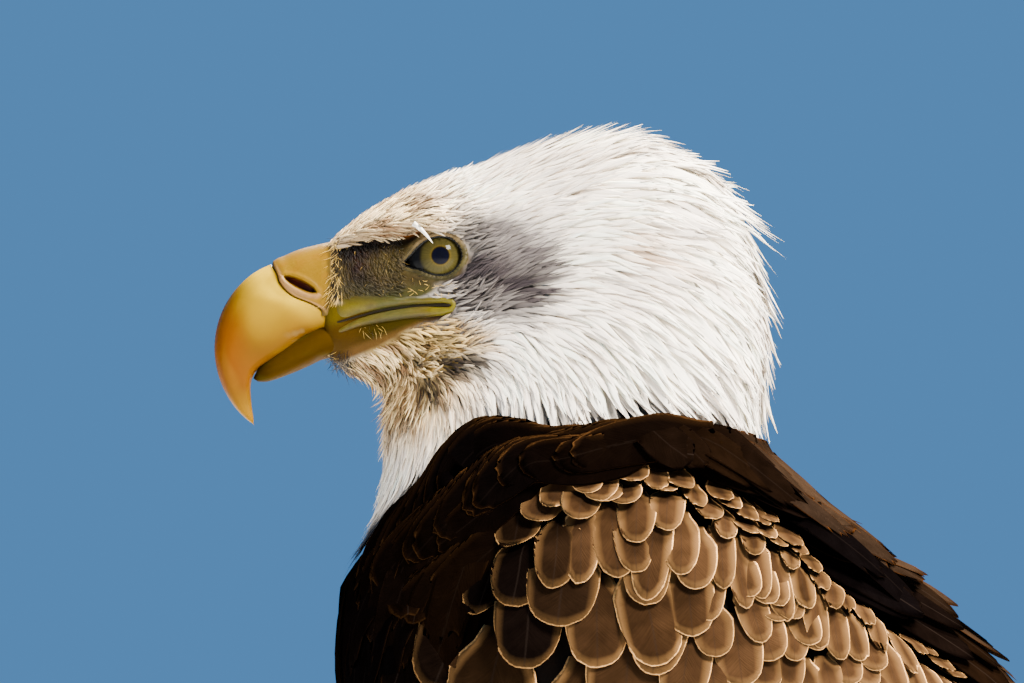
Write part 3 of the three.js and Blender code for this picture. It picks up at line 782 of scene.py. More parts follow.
def skin_colour(points):
    """The skin's colours: bare face, gape and lids, and the shaded tone of the feathers elsewhere."""
    s = bpy.context.scene.eagle_face
    x, z = points[:, 0], points[:, 2]
    # Under the feathers the skin is darker, most under the brown coat and near the bill: painted shade in the
    # gaps between them.
    depth = (0.35 + 0.45 * white_zone(points)) * (0.45 + 0.55 * smooth(30, 50, from_bill(points)))
    grain = mottle(points, 1.6, 31)
    coarse = mottle(points * (1, 0.6, 0.8), 4.5, 32)
    fold = hump(z - curve((-38, -12.5), (-10, -11.5), (0, -12))(x), 0, 3) * smooth(-38, -32, x)
    ridge = z - BROW_EDGE(x)
    beside_lip = hump(z - curve((-38, -18.4), (-28, -17), (-11, -15), (4, -15.6))(x), 0, 4.2 + 0.8 * coarse)
    lip = blend(s.lip_grey, (s.lip, hump(x, -31, 7)))
    under_lips = smooth(-19.5, -22, z + 0.12 * x) * (1 - smooth(-9, 0, x))
    face = blend(
        s.lore,
        (s.under_brow, 0.35 + 0.35 * coarse),
        (s.lore_olive, 0.85 * oval(x, z, (-14, -4), 8, 7.5, 0.5) * (0.75 + 0.25 * grain)),
        (s.lore_olive, 0.6 * oval(x, z, (-34, -10), 5, 9, 0.6)),
        ("#2d2616", 0.5 * smooth(0.0, 0.9, grain)),
        ("#383222", 0.7 * fold),
        ("#372c17", 0.5 * oval(x, z, (-6, -11), 9, 4, 0.6)),
        (s.under_brow, 0.85 * hump(ridge, -2.4, 2.6) * (1 - smooth(-9, -3, x))),
        (lip * 0.85, 0.8 * beside_lip * smooth(-38, -35, x) * (1 - smooth(-4, 4, x))),
        (s.jaw, under_lips),
        (s.lower, under_lips * (1 - smooth(-28, -20, x))),
        (s.lip, 0.85 * oval(x, z, (-33.5, -18.5), 4, 3.6, 0.6)),
        ("#523919", 0.75 * under_lips * smooth(-27, -29.5, z - 0.35 * (x + 25)) * smooth(-32, -27, x)),
        (s.brow_skin, 0.9 * hump(ridge, 0.6, 1.2) * hump(x, -11, 6)),
    )
    radius, angle = round_eye(points)
    out = radius - OPENING(angle)
    near_eye = (radius < 16) & (x < 12)
    upper = smooth(20, 50, angle) * (1 - smooth(115, 150, angle))
    fold = smooth(193, 215, angle) * (1 - smooth(290, 330, angle))
    lid = blend(
        s.lid,
        (s.under_brow, 0.35 + 0.3 * grain),
        ("#705a39", 0.85 * upper * (1 - smooth(1.8, 2.8, out))),
        ("#1f1e0e", 0.85 * fold * (1 - smooth(1.8, 2.6, out))),
        ("#52492f", 0.7 * fold * hump(out, 2.8, 0.45)),
    )
    # The sunk skin inside the eye's opening is painted near black: painted shade between the lids and the
    # eyeball.
    slit = (1 - smooth(-0.35, 0.1, out)) * near_eye
    face = blend(face, (lid, (1 - smooth(1.2, 3.4, out)) * near_eye), ((0.004, 0.004, 0.006), slit))
    return blend(plumage(points + (0, 0, 7)) * depth[:, None], (face, bare(points)))


# ---------- tubes ----------
def tube(name, runs, around):
    """Closed bars of changing section. Each run is (centres, out direction, half sizes out and across)."""
    verts, faces = [], []
    turn = np.linspace(0, 2 * math.pi, around, endpoint=False)
    for centres, out, *halves in runs:
        count = len(centres)
        half_out, half_across = (np.broadcast_to(half, count)[:, None, None] for half in halves)
        ahead = unit(np.gradient(centres, axis=0))
        across = unit(np.cross(ahead, out))
        out = unit(np.cross(across, ahead))
        ring = centres[:, None] + half_out * np.cos(turn)[:, None] * out[:, None]
        ring = ring + half_across * np.sin(turn)[:, None] * across[:, None]
        first = sum(len(v) for v in verts)
        verts.append(ring.reshape(-1, 3))
        row = first + np.arange(count)[:, None] * around
        here = np.arange(around)
        beside = (here + 1) % around
        quads = np.stack([row[:-1] + here, row[:-1] + beside, row[1:] + beside, row[1:] + here], axis=-1)
        faces += quads.reshape(-1, 4).tolist()
        faces.append((first + here[::-1]).tolist())
        faces.append((first + (count - 1) * around + here).tolist())
    mesh = bpy.data.meshes.new(name)
    mesh.from_pydata(to_world(np.concatenate(verts)).tolist(), [], faces)
    piece = bpy.data.objects.new(name, mesh)
    bpy.context.collection.objects.link(piece)
    in_edit_mode(piece, lambda: bpy.ops.mesh.normals_make_consistent(inside=False))
    piece.data.shade_smooth()
    return piece


def even(points, count):
    """Points at even distances along a smooth curve through the given ones."""
    fine = path(points)(np.linspace(0, 1, 600))
    along = np.concatenate([[0], np.cumsum(np.linalg.norm(np.diff(fine, axis=0), axis=1))])
    wanted = np.linspace(0, along[-1], count)
    return np.stack([np.interp(wanted, along, fine[:, c]) for c in range(fine.shape[1])], axis=1)


# ---------- eyes ----------
def make_eyes():
    """Each eye: a clear dome over a pale iris, set in its socket."""
    for word, side in SIDES:
        deselect()
        turned = (math.pi / 2, 0, 0)
        bpy.ops.mesh.primitive_uv_sphere_add(segments=96, ring_count=72, radius=1, rotation=turned)
        piece = bpy.context.object
        piece.name = piece.data.name = f"eyeball_{word}"
        bpy.ops.object.transform_apply(rotation=True)
        p = places(piece)
        polar = np.arccos(np.clip(-p[:, 1], -1, 1)) / math.pi
        ring = np.arctan2(p[:, 2], p[:, 0])
        front = polar < 0.8
        radius = EYEBALL_REACH * np.where(front, (polar / 0.8) ** 0.9, (1 - polar) / 0.2)
        behind = eye_face(np.float64(EYEBALL_REACH)) - 6 * smooth(0.8, 1, polar)
        out = np.where(front, eye_face(radius), behind)
        x, z = EYE_AT[0] + radius * np.cos(ring), EYE_AT[1] + radius * np.sin(ring)
        put(piece, to_world(np.stack([x, side * out, z], 1)))
        in_edit_mode(piece, lambda: bpy.ops.mesh.normals_make_consistent(inside=False))
        piece.data.shade_smooth()
        finish_piece(piece, eye_material(f"wet_eye_{word}", side), "eye", f"eye_{word}")


def eye_material(name, side):
    """A living eye: a matt, fibrous iris under a wet clear cornea."""
    s = bpy.context.scene.eagle_face
    constants = {"Roughness": 0.45, "Specular IOR Level": 0.0}
    constants |= {"Coat Weight": 0.25, "Coat Roughness": 0.015, "Coat IOR": 1.3}
    material, tree, shader = new_material(name, constants)
    where = add_node(tree, "TexCoord", {}, "Object")
    centre = to_world((EYE_AT[0], side * (EYE_FRONT - CORNEA_RADIUS), EYE_AT[1]))
    local = add_node(tree, "Mapping", {0: where, 1: tuple(-centre)})
    x, _, z = add_node(tree, "SeparateXYZ", {0: local}).node.outputs
    flat = add_node(tree, "CombineXYZ", {0: x, 2: z})
    radius = add_node(tree, "VectorMath", {0: flat}, "Value", operation="LENGTH")
    share = add_node(tree, "Math", {0: radius, 1: EYE_RAMP * MM}, operation="DIVIDE")
    # Radial fibres about 0.3 mm apart are stretched noise in (angle, radius).
    angle = add_node(tree, "Math", {0: z, 1: x}, operation="ARCTAN2")
    turn = add_node(tree, "Math", {0: angle, 1: 6.0}, operation="MULTIPLY")
    spokes = add_node(tree, "CombineXYZ", {0: turn, 1: share})
    fibres = add_node(tree, "TexNoise", {"Vector": spokes, "Scale": 2.2, "Detail": 3.0})
    pupil, iris = s.pupil_radius / MM / EYE_RAMP, s.iris_radius / MM / EYE_RAMP
    wanted = (
        (0.0, (0.002, 0.002, 0.004)),
        (pupil - 0.012, (0.002, 0.002, 0.005)),
        (pupil + 0.015, "#1e1705"),
        (pupil + 0.05, "#443813"),
        (pupil + 0.13, s.iris),
        (iris - 0.14, np.array(s.iris) * 0.95),
        (iris - 0.05, "#1f1c0d"),
        (iris, (0.004, 0.004, 0.004)),
    )
    ramp = add_node(tree, "ValToRGB", {0: share})
    stops = ramp.node.color_ramp.elements
    while len(stops) < len(wanted):
        stops.new(0.5)
    for stop, (position, colour) in zip(stops, wanted):
        stop.position = position
        stop.color = (*linear(colour), 1)
    colour = shaded(tree, ramp, fibres, 0.72, 1.15)
    # The upper half of the iris is darker and the lower half lighter: painted shade of the brow.
    colour = shaded(tree, colour, z, 1.25, 0.55, -5 * MM, 5 * MM)
    bump = add_node(tree, "Bump", {"Height": fibres, "Strength": 0.4, "Distance": 0.0002})
    wire(shader, {"Base Color": colour, "Normal": bump})
    return material


def around_eye(side, grow, sink, count=144):
    """Points round the opening of one eye, a little outside its edge and under the level of its margin."""
    turn = np.linspace(0, 2 * math.pi, count + 1)
    reach = OPENING(np.degrees(turn)) + grow
    knots, margins = GROUND["margins"]
    level = np.interp(np.degrees(turn), knots, margins[side])
    x, z = EYE_AT[0] + reach * np.cos(turn), EYE_AT[1] + reach * np.sin(turn)
    return np.stack([x, side * (level - sink), z], axis=1)


def make_lids():
    """The wet dark margin of each eye and the beaded ring of pale skin outside it."""
    s = bpy.context.scene.eagle_face
    dark, pale = [], []
    for _, side in SIDES:
        dark.append((around_eye(side, 0.15, 0.25), (0, side, 0), 0.42, 0.5))
        line = around_eye(side, 0.95, -0.1)
        turn = np.linspace(0, 360, len(line))
        width = 0.9 - 0.35 * smooth(35, 75, np.minimum(turn, 360 - turn))
        bead = 0.09 * np.sin(np.radians(turn) * 36)
        pale.append((line, (0, side, 0), 0.5 + bead, width + bead))
    margin = tube("eyelid_margins", dark, 10)
    paint(margin, (0.006, 0.006, 0.005))
    finish_piece(margin, painted_material("wet_lid_margin", 0.4, 0.05, 0.25), "face_skin")
    ring = tube("eyelid_rings", pale, 12)
    points = to_eye_line(places(ring))
    x, z = points[:, 0], points[:, 2]
    colour = blend(
        s.lid,
        ("#383516", 0.55 * smooth(0, 6, x)),
        ("#6f593b", 0.7 * smooth(0, 5, z)),
        ("#2a2814", 0.7 * smooth(-3, -6, z)),
        (s.under_brow, 0.25 + 0.2 * mottle(points, 1.2, 41)),
    )
    paint(ring, colour)
    finish_piece(ring, painted_material("eyelid_skin", 0.5, 0.12, 0.4), "face_skin")


# ---------- the gape ----------
def make_lips():
    """The fleshy lips of the gape, one bar round each corner of the mouth."""
    s = bpy.context.scene.eagle_face
    runs, mouth = [], []
    for _, side in SIDES:
        x, z, half = even(UPPER_LIP + LIP_CORNER + LOWER_LIP, 120).T
        level = relax_line(np.abs(GROUND["skin"].side_view(x, z, side)[:, 1]), 25)
        centres = np.stack([x, side * (level - 0.35 - 0.5 * smooth(-20, -34, x)), z], axis=1)
        stands = (0.75 + 0.5 * np.minimum(half, 1.6)) * (0.45 + 0.55 * smooth(-37, -29, x))
        runs.append((centres, (0, side, 0), stands, half))
        x, z = even(MOUTH, 60).T
        level = relax_line(np.abs(GROUND["skin"].side_view(x, z, side)[:, 1]), 20)
        mouth.append((np.stack([x, side * (level + 0.1), z], axis=1), (0, side, 0), 0.35, 0.3))
    piece = tube("gape_lips", runs, 20)
    points = to_eye_line(places(piece))
    x, z = points[:, 0], points[:, 2]
    grain = mottle(points * (0.3, 1, 1), 1.2, 51)
    colour = blend(
        s.lip,
        (s.lip_grey, 0.9 * hump(x, -15, 9)),
        (s.lore_olive, 0.35 + 0.25 * grain),
        ("#584d05", 0.6 * hump(x, -28, 5) * hump(z, -17, 4)),
        ("#59500b", 0.7 * smooth(-6, 2, x)),
        ("#464027", 0.6 * hump(x, -36, 3)),
        ("#2a2409", 0.4 * smooth(0.3, 1, grain)),
    )
    # The outer edges of the lips melt into the skin of the lore and the jaw.
    upper, lower = (np.array(sorted(lip), float).T for lip in (UPPER_LIP, LOWER_LIP))
    above = (z - np.interp(x, upper[0], upper[1])) / np.interp(x, upper[0], upper[2])
    under = (np.interp(x, lower[0], lower[1]) - z) / np.interp(x, lower[0], lower[2])
    melted = np.maximum(smooth(-0.2, 0.8, above), smooth(0.0, 0.9, under)) * (1 - smooth(-8, 0, x))
    paint(piece, blend(colour, (skin_colour(points), 0.85 * melted)))
    # Moist gape skin: softer and shinier than the face.
    material = painted_material("gape_skin", 0.7, 0.12, 0.34, constants={"Subsurface Weight": 0.1})
    finish_piece(piece, material, "face_skin")
    # The dark bar along the mouth line is painted shadow in the gap between the upper and lower lips.
    dark = tube("mouth_line", mouth, 8)
    paint(dark, "#130e07")
    finish_piece(dark, painted_material("mouth_shadow_skin", 0.5, 0.05, 0.5), "face_skin")


def relax_line(values, times):
    """Evens out numbers along a line, keeping its ends."""
    values = values.copy()
    for _ in range(times):
        values[1:-1] = values[1:-1] * 0.5 + (values[:-2] + values[2:]) * 0.25
    return values


# ---------- the bill ----------
CULMEN_CENTRE = np.array([-43.2, -27.8])
HOOK = [
    CULMEN_CENTRE + (27.2 + 2.3 * (i / 9) ** 3) * np.array([math.cos(turn), math.sin(turn)])
    for i, turn in enumerate(np.radians(np.linspace(110, 239, 10)))
]
STATIONS = 200
CULMEN = even([(-37.2, 3.4), (-45, 1.3)] + HOOK, STATIONS)
CUTTING_EDGE = [(-37.2, -24.2), (-42.8, -26.2), (-47.5, -29.6), (-53.6, -33), (-57.8, -36), (-59.4, -39.8)]
CUTTING_EDGE = even(CUTTING_EDGE + [(-59.2, -46), (-58.3, -52.6)], STATIONS)
BILL_WIDTH = curve((0, 13.2), (0.2, 12.4), (0.4, 10.6), (0.6, 7.9), (0.8, 4.7), (0.93, 2.4), (1, 0.7))
CERE_EDGE = curve(
    (-24, -33), (-17.6, -37), (-15.4, -40.5), (-13.2, -45.9), (-9.9, -49.6), (-5.7, -51.4), (-2.6, -52.8),
    (6, -54),
)
NOSTRIL = np.array([(-48.5, -7.2), (-39.0, -11.9)])
INTO_HEAD = 4.0  # per cent of its length that the bill runs back under the face
ROUND, SLAB = 2 / 2.15, 0.36  # powers for the bill's upper half, and for its sides below that


def rounded(value, power):
    """A power that keeps the sign: with sine and cosine it makes a fuller or squarer ring."""
    return np.sign(value) * np.abs(value) ** power


def bill_surface(t, angle):
    """Places on the upper bill: t from base to tip, angle in radians from the culmen round to the edge."""
    at = np.clip(t, 0, 1) * (STATIONS - 1)
    low = np.minimum(at.astype(int), STATIONS - 2)
    share = (at - low)[..., None]
    top = CULMEN[low] * (1 - share) + CULMEN[low + 1] * share
    edge = CUTTING_EDGE[low] * (1 - share) + CUTTING_EDGE[low + 1] * share
    back = np.maximum(-t, 0)[..., None] * 100
    top, edge = top + back * (1.0, 0.2), edge + back * (1.0, 0.2)
    middle, half = (top + edge) / 2, (top - edge) / 2
    # The upper half is round; below it the sides run straight down to the cutting edges.
    up = rounded(np.cos(angle), ROUND)
    out = rounded(np.sin(angle), np.where(np.cos(angle) < 0, SLAB, ROUND))
    flat = middle + half * up[..., None]
    y = BILL_WIDTH(np.clip(t, 0, 1)) * out
    return np.stack([flat[..., 0], y, flat[..., 1]], axis=-1)


def make_bill():
    """The horn of the upper and lower bill."""
    s = bpy.context.scene.eagle_face

    def upper(u, v):
        closing = np.where(v < 0.004, 0, smooth(1.0, 0.965, v) ** 0.5)
        t = v * (1 + INTO_HEAD / 100) - INTO_HEAD / 100
        middle = bill_surface(t, u * 0 + math.pi / 2) * (1, 0, 1)
        shaped = middle + (bill_surface(t, u * 2 * math.pi) - middle) * closing[..., None]
        under_cere = CERE_EDGE(shaped[..., 2]) - shaped[..., 0]
        # The horn's edge swells just before the cere, with a thin groove between the two.
        shaped[..., 1] *= 1 + 0.02 * hump(under_cere, 2.4, 1.6)
        sunk = 0.3 * smooth(0.35, -1.6, under_cere)[..., None]
        return shaped + (middle - shaped) * sunk

    piece = sheet("bill_upper_horn", 97, 181, upper)
    points = to_eye_line(places(piece))
    x, z = points[:, 0], points[:, 2]
    streak = mottle(points * (0.25, 1, 0.25), 2.0, 61)
    colour = blend(
        s.horn,
        # Painted highlight next to the cere and on the upper front of the bill.
        (s.horn_highlight, 0.9 * hump(CERE_EDGE(z) - x, 4.5, 5.5) * smooth(-25, -12, z)),
        (s.horn_highlight, 0.35 * oval(x, z, (-55, -12), 9, 11, 0.8)),
        # Darker along the front and at the hook's base: the horn's own tone with painted shade.
        (s.horn_dark, 0.85 * oval(x, z, (-67, -30), 5.5, 16, 0.7)),
        (s.horn_dark, 0.5 * oval(x, z, (-56, -38), 7, 5, 0.7)),
        ("#805700", 0.7 * smooth(-43, -50, z)),
        ("#6a4000", 0.16 * smooth(0, 1, streak)),
        ("#8c6909", 0.14 * smooth(0, 1, -streak)),
    )
    # Scuffed pale patches at the rear of the cutting edge, and a painted shadow line in the groove before the
    # cere.
    edge = oval(x, z, (-41, -25.5), 6, 2.2, 0.6) * smooth(-0.3, 0.6, mottle(points, 1.5, 63))
    colour = blend(
        colour,
        ("#6c5d3b", 0.4 * edge),
        ("#1f0e00", 0.85 * smooth(1.1, 0.2, CERE_EDGE(z) - x)),
    )
    paint(piece, colour)
    # Horn: hard keratin with a waxy gloss and faint growth lines.
    waxy = {"Specular IOR Level": 0.12, "IOR": 1.25}
    material = painted_material("bill_keratin", 3.5, 0.06, 0.34, 0.03, waxy)
    finish_piece(piece, material, "bill_horn", "bill_upper")

    top = curve((-58.6, -37.2), (-56, -33.6), (-52, -29.6), (-46, -25.4), (-37.2, -21), (-30, -20))
    bottom = curve((-58.6, -39.2), (-54, -39.2), (-47, -36.8), (-41, -34.2), (-37.2, -32.4), (-30, -31.0))
    wide = curve((-58.6, 1.6), (-56, 4.2), (-52, 6.6), (-46, 9.4), (-37.2, 12.0), (-30, 12.6))

    tip, run = -58.6, 27.6  # the lower bill's front end, and how far it runs back from there

    def lower(u, v):
        x = tip + run * v
        ends = np.sqrt(np.clip(np.minimum(v, 1 - v) / 0.05, 0, 1))
        up = rounded(np.cos(u * 2 * math.pi), 0.87)
        out = rounded(np.sin(u * 2 * math.pi), 0.87)
        z = (top(x) + bottom(x)) / 2 + (top(x) - bottom(x)) / 2 * up * ends
        return np.stack([x, wide(x) * out * ends, z], axis=-1)

    piece = sheet("bill_lower_horn", 73, 61, lower)
    points = to_eye_line(places(piece))
    x, z = points[:, 0], points[:, 2]
    colour = blend(
        s.lower,
        # Lighter along the bottom edge as painted light, and darker under the upper bill's edge as painted
        # shade.
        ("#442d00", 0.7 * smooth(2.2, 0.4, z - bottom(x))),
        ("#1e1300", 0.7 * smooth(1.8, 0.2, top(x) - z)),
        ("#1f1300", 0.7 * smooth(-50, -58, x)),
        ("#383107", 0.4 * mottle(points * (0.3, 1, 1), 3, 62).clip(0)),
    )
    paint(piece, colour)
    material = painted_material("lower_bill_keratin", 2.5, 0.06, 0.5, 0.05, {"IOR": 1.05})
    finish_piece(piece, material, "lower_horn", "bill_lower")


def from_nostril(points):
    """How far outside the edge of the slit nostril places are, and whether that is under it."""
    start, end = NOSTRIL
    flat = points[..., (0, 2)]
    along = ((flat - start) @ (end - start)) / ((end - start) @ (end - start))
    inside = np.clip(along, 0, 1)
    off = np.linalg.norm(flat - (start + inside[..., None] * (end - start)), axis=-1)
    slit = 1.25 * np.sqrt(np.clip(1 - (2 * inside - 1) ** 2, 0.02, 1))
    return off - slit, flat[..., 1] < start[1] + along * (end - start)[1]


def make_cere():
    """The soft yellow cere over the base of the upper bill, with its slit nostrils."""
    s = bpy.context.scene.eagle_face
    widest = math.radians(128)
    tucked = 0.03  # share of the bill's length that the cere runs back under the face

    def last_t(angle):
        low, high = np.zeros_like(angle), np.full_like(angle, 0.5)
        for _ in range(30):
            half = (low + high) / 2
            p = bill_surface(half, angle)
            behind = p[..., 0] > CERE_EDGE(p[..., 2])
            low, high = np.where(behind, half, low), np.where(behind, high, half)
        return low

    def shape(u, v):
        angle = (u * 2 - 1) * widest
        edge = last_t(angle)
        t = -tucked + (edge + tucked) * np.minimum(v, 1)
        left = np.linalg.norm(bill_surface(edge, angle) - bill_surface(t, angle), axis=-1)
        rise = 0.62 * np.sqrt(1 - np.clip(1 - left, 0, 1) ** 2) - 0.12
        rise = rise + 0.25 * hump(left, 2.2, 1.6) - 0.35 * smooth(0.97, 1, v)
        p = bill_surface(t, angle)
        spread = unit(p - bill_surface(t, angle * 0 + math.pi / 2) * (1, 0, 1))
        p = p + spread * rise[..., None]
        # The nostril is a spindle-shaped slit with a swollen lower lip.
        off, below = from_nostril(p)
        hole = 1 - smooth(-0.35, 0.3, off)
        lip = hump(off, 1.0, 0.7) * (0.25 + 0.5 * below)
        p[..., 1] += np.sign(p[..., 1]) * (lip - 2.6 * hole) * smooth(3, 6, np.abs(p[..., 1]))
        return p

    piece = sheet("cere_skin", 221, 81, shape)
    points = to_eye_line(places(piece))
    x, z = points[:, 0], points[:, 2]
    off, below = from_nostril(points)
    edge = x - CERE_EDGE(z)
    colour = blend(
        s.cere,
        ("#6a4300", 0.3 * mottle(points, 2.5, 71).clip(0)),
        (s.rim, 0.85 * hump(off, 1.3, 0.75) * below),
        (s.nostril, 1 - smooth(-0.5, 0.35, off)),
        (s.rim, 0.75 * hump(edge, 1.1, 0.6) * smooth(-2, -5, z)),
        # A painted shadow line in the groove along the cere's front edge.
        ("#371a00", 0.8 * smooth(0.55, 0.1, edge)),
        ("#443b07", 0.5 * smooth(-16, -19, z)),
        ("#382c09", 0.7 * smooth(-35.9, -34.9, x + 0.3 * mottle(points, 1.2, 72))),
    )
    paint(piece, colour)
    modify(piece, "SOLIDIFY", thickness=0.0008, offset=-1)
    # The cere is skin, not horn: matter than the bill, with fine pores.
    finish_piece(piece, painted_material("cere_skin", 0.8, 0.1, 0.42, 0.06), "cere_skin", "cere")


# ---------- feet ----------
FOOT = np.array([123.0, 47.0])
TOES = (  # name, turn from straight ahead, length, thickness, claw length
    ("hind", 188, 41, 8.0, 25),
    ("inner", -30, 53, 7.8, 23),
    ("middle", 3, 74, 7.6, 19),
    ("outer", 38, 58, 7.0, 16),
)
TOE_START = 5
TOE_TIP_HEIGHT = 8
CLAW_LIFT = math.radians(24)


def on_toe(turn, side, out, up):
    turn = math.radians(turn)
    out, up = np.broadcast_arrays(np.asarray(out, float), np.asarray(up, float))
    x = FOOT[0] - out * math.cos(turn)
    y = side * (FOOT[1] + out * math.sin(turn))
    return np.stack([x, y, FLOOR + up], axis=-1)


def make_feet():
    """Bare yellow shanks and toes with horny plates in front and on top, and rough soles."""
    s = bpy.context.scene.eagle_feet
    material = painted_material("horny_foot_scales", 1.6, 0.25, 0.46)
    for word, side in SIDES:
        nodes = (f"shank_{word}",) + tuple(f"toe_{word}_{toe[0]}" for toe in TOES)
        piece = copy_nodes(f"foot_{word}", nodes)
        remesh(piece, 1.0, 0.35)
        points = to_eye_line(relax(piece, places(piece), 10))
        points += outward(piece) * 0.25
        height = points[:, 2] - FLOOR
        # Where each point lies along its toe or shank, and how far round towards the top or front.
        best = np.full(len(points), 1e9)
        along, top = np.zeros(len(points)), np.zeros(len(points))
        facing = outward(piece)
        for _, turn, *_ in TOES:
            way = np.array([-math.cos(math.radians(turn)), side * math.sin(math.radians(turn))])
            rel = points[:, :2] - (FOOT[0], side * FOOT[1])
            out = rel @ way
            off = np.abs(rel @ np.array([-way[1], way[0]])) + 40 * (out < 3) + np.maximum(height - 18, 0)
            closer = off < best
            best = np.where(closer, off, best)
            along = np.where(closer, out, along)
            top = np.where(closer, facing[:, 2], top)
        on_shank = smooth(16, 24, height)
        along = along * (1 - on_shank) + height * on_shank
        top = np.where(on_shank > 0.5, -facing[:, 0] * 0.9 + 0.25, top)
        plate = 3.6
        tooth = (along / plate) % 1
        scute = smooth(0, 0.25, tooth) * (1 - smooth(0.85, 1, tooth))
        upper = smooth(0.05, 0.45, top)
        pebbles = 0.5 + 0.5 * mottle(points, 1.1, 81 + (side > 0))
        relief = upper * (0.75 * scute - 0.35) + (1 - upper) * (0.55 * smooth(0.3, 0.8, pebbles) - 0.2)
        moved = points + facing * relief[:, None]
        moved[:, 2] = np.maximum(moved[:, 2], FLOOR)
        put(piece, to_world(moved))
        # Darker between the plates on top and between the pebbles of the soles: painted shade in the creases.
        crease_shade_mask = upper * (1 - scute) + (1 - upper) * (1 - smooth(0.2, 0.7, pebbles))
        colour = blend(
            s.scale,
            ("#b99e43", 0.35 * mottle(points, 6, 83).clip(0)),
            (s.crease_shade, 0.75 * crease_shade_mask),
            ("#5d4a27", 0.5 * smooth(2.0, 0.0, height)),
        )
        paint(piece, colour)
        finish_piece(piece, material, "shank_skin", *nodes)


def make_claws():
    """Eight black claws, each a smooth tapering arc."""
    s = bpy.context.scene.eagle_feet
    runs = []
    for word, side in SIDES:
        for _, turn, length, thick, claw in TOES:
            fall = math.cos(CLAW_LIFT) + (0.6 - TOE_TIP_HEIGHT) / claw
            sweep = CLAW_LIFT + math.acos(max(-1, min(1, fall)))
            t = np.linspace(-0.12, 1, 34)
            angle = CLAW_LIFT - sweep * t
            out = TOE_START + length - 1 + claw * (math.sin(CLAW_LIFT) - np.sin(angle))
            up = TOE_TIP_HEIGHT + claw * (np.cos(angle) - math.cos(CLAW_LIFT))
            radius = 0.12 + (thick * 0.53 - 0.12) * np.clip(1 - np.maximum(t, 0), 0, 1) ** 0.8
            radius = radius * smooth(-0.2, 0.05, t) ** 0.5
            line = on_toe(turn, side, out, up)
            line[:, 2] = np.maximum(line[:, 2], FLOOR + radius)
            runs.append((line, (0, 0, 1), radius * 1.06, radius * 0.88))
    piece = tube("claws", runs, 20)
    grey = 0.35 * mottle(to_eye_line(places(piece)) * 0.4, 3, 91).clip(0)
    paint(piece, blend(s.claw, ("#372c1f", grey)))
    nodes = [f"claw_{word}_{toe[0]}" for word, _ in SIDES for toe in TOES]
    finish_piece(piece, painted_material("claw_horn", 1.5, 0.08, 0.28), "claw_horn", *nodes)


# ---------- how feathers lie ----------
# Places in side view, each with the way feathers point there in degrees below the way to the tail.
HEAD_LIE = (
    (-30, 8, -25), (0, 25, -15), (35, 38, -8), (45, 38, -16), (75, 38, 6), (90, 25, 30), (100, 5, 50),
    (104, -20, 65), (106, -45, 72), (15, 5, -20), (14, -8, -30), (30, 0, -14), (45, 5, 5), (35, -20, 12),
    (28, -30, 60), (60, -10, 32), (50, -30, 62), (80, -30, 58), (10, -25, -8), (0, -34, 12), (-20, -38, 35),
    (-12, -50, 72), (-18, -70, 92), (10, -45, 65), (10, -65, 100), (5, -60, 112), (-15, -80, 105),
    (25, -50, 95), (45, -50, 85), (70, -50, 70), (-20, 8, 2), (-9, 9, 6), (2, 11, -4), (13, 9, -10),
)
COLLAR_LIE = (
    (15, -58, 150), (-10, -80, 138), (-25, -105, 115), (-30, -125, 100), (35, -58, 100), (60, -58, 40),
    (90, -60, 38), (30, -80, 120), (60, -75, 60), (0, -110, 110), (110, -75, 42), (20, -100, 110),
)
BODY_LIE = (
    (-30, -135, 95), (-5, -220, 80), (40, -300, 55), (120, -360, 35), (220, -400, 32), (300, -430, 35),
    (130, -90, 34), (180, -140, 44), (230, -220, 58), (280, -310, 62), (330, -400, 55), (50, -180, 75),
    (120, -250, 60), (-20, -170, 90), (90, -66, 34), (60, -58, 28), (110, -80, 34),
)
WING_LIE = (
    (20, -90, 97), (60, -100, 90), (110, -110, 84), (150, -130, 78), (60, -160, 88), (120, -200, 72),
    (200, -300, 54), (300, -430, 50), (15, -120, 100), (60, -68, 90), (85, -80, 88), (90, -150, 82),
    (160, -250, 58), (240, -260, 50), (190, -180, 62),
)
THIGH_LIE = ((110, -300, 88), (120, -380, 82), (132, -440, 80), (137, -485, 84))


def lie_field(anchors):
    """A function from places to the way feathers point there, evened out between the given places."""
    table = np.array(anchors, float)
    turn = np.radians(table[:, 2])
    ways = np.stack([np.cos(turn), 0 * turn, -np.sin(turn)], axis=1)

    def lie(points):
        away = (points[:, None, 0] - table[:, 0]) ** 2 + (points[:, None, 2] - table[:, 1]) ** 2
        return unit((1 / (away + 50) ** 2) @ ways)

    return lie


def tree_of(*nodes):
    """A search tree over frame nodes, in mm from the eye line."""
    verts, faces = [], []
    for node in nodes:
        mesh = frame["nodes"][node].data
        mesh.calc_loop_triangles()
        first = len(verts)
        verts += to_eye_line([tuple(v.co) for v in mesh.vertices]).tolist()
        faces += [[first + i for i in t.vertices] for t in mesh.loop_triangles]
    return BVHTree.FromPolygons(verts, faces, all_triangles=True)


TRUNK, WING, THIGH = 0, 1, 2


def zones(points):
    """Which part of the body each place is nearest to."""
    trees = (
        tree_of("head", "neck", "trunk"),
        tree_of(*[f"wing_{word}_{part}" for word, _ in SIDES for part in ("coverts", "secondaries")]),
        tree_of("thigh_left", "thigh_right"),
    )
    found = np.zeros(len(points), int)
    low = np.flatnonzero(points[:, 2] < -55)
    away = np.array([[tree.find_nearest(p)[3] for tree in trees] for p in points[low].tolist()])
    found[low] = away.argmin(axis=1)
    return found


def value_at(value, *places):
    """A function read at each place, or a number that is the same at them all."""
    return value(*places) if callable(value) else np.full(len(places[0]), float(value))


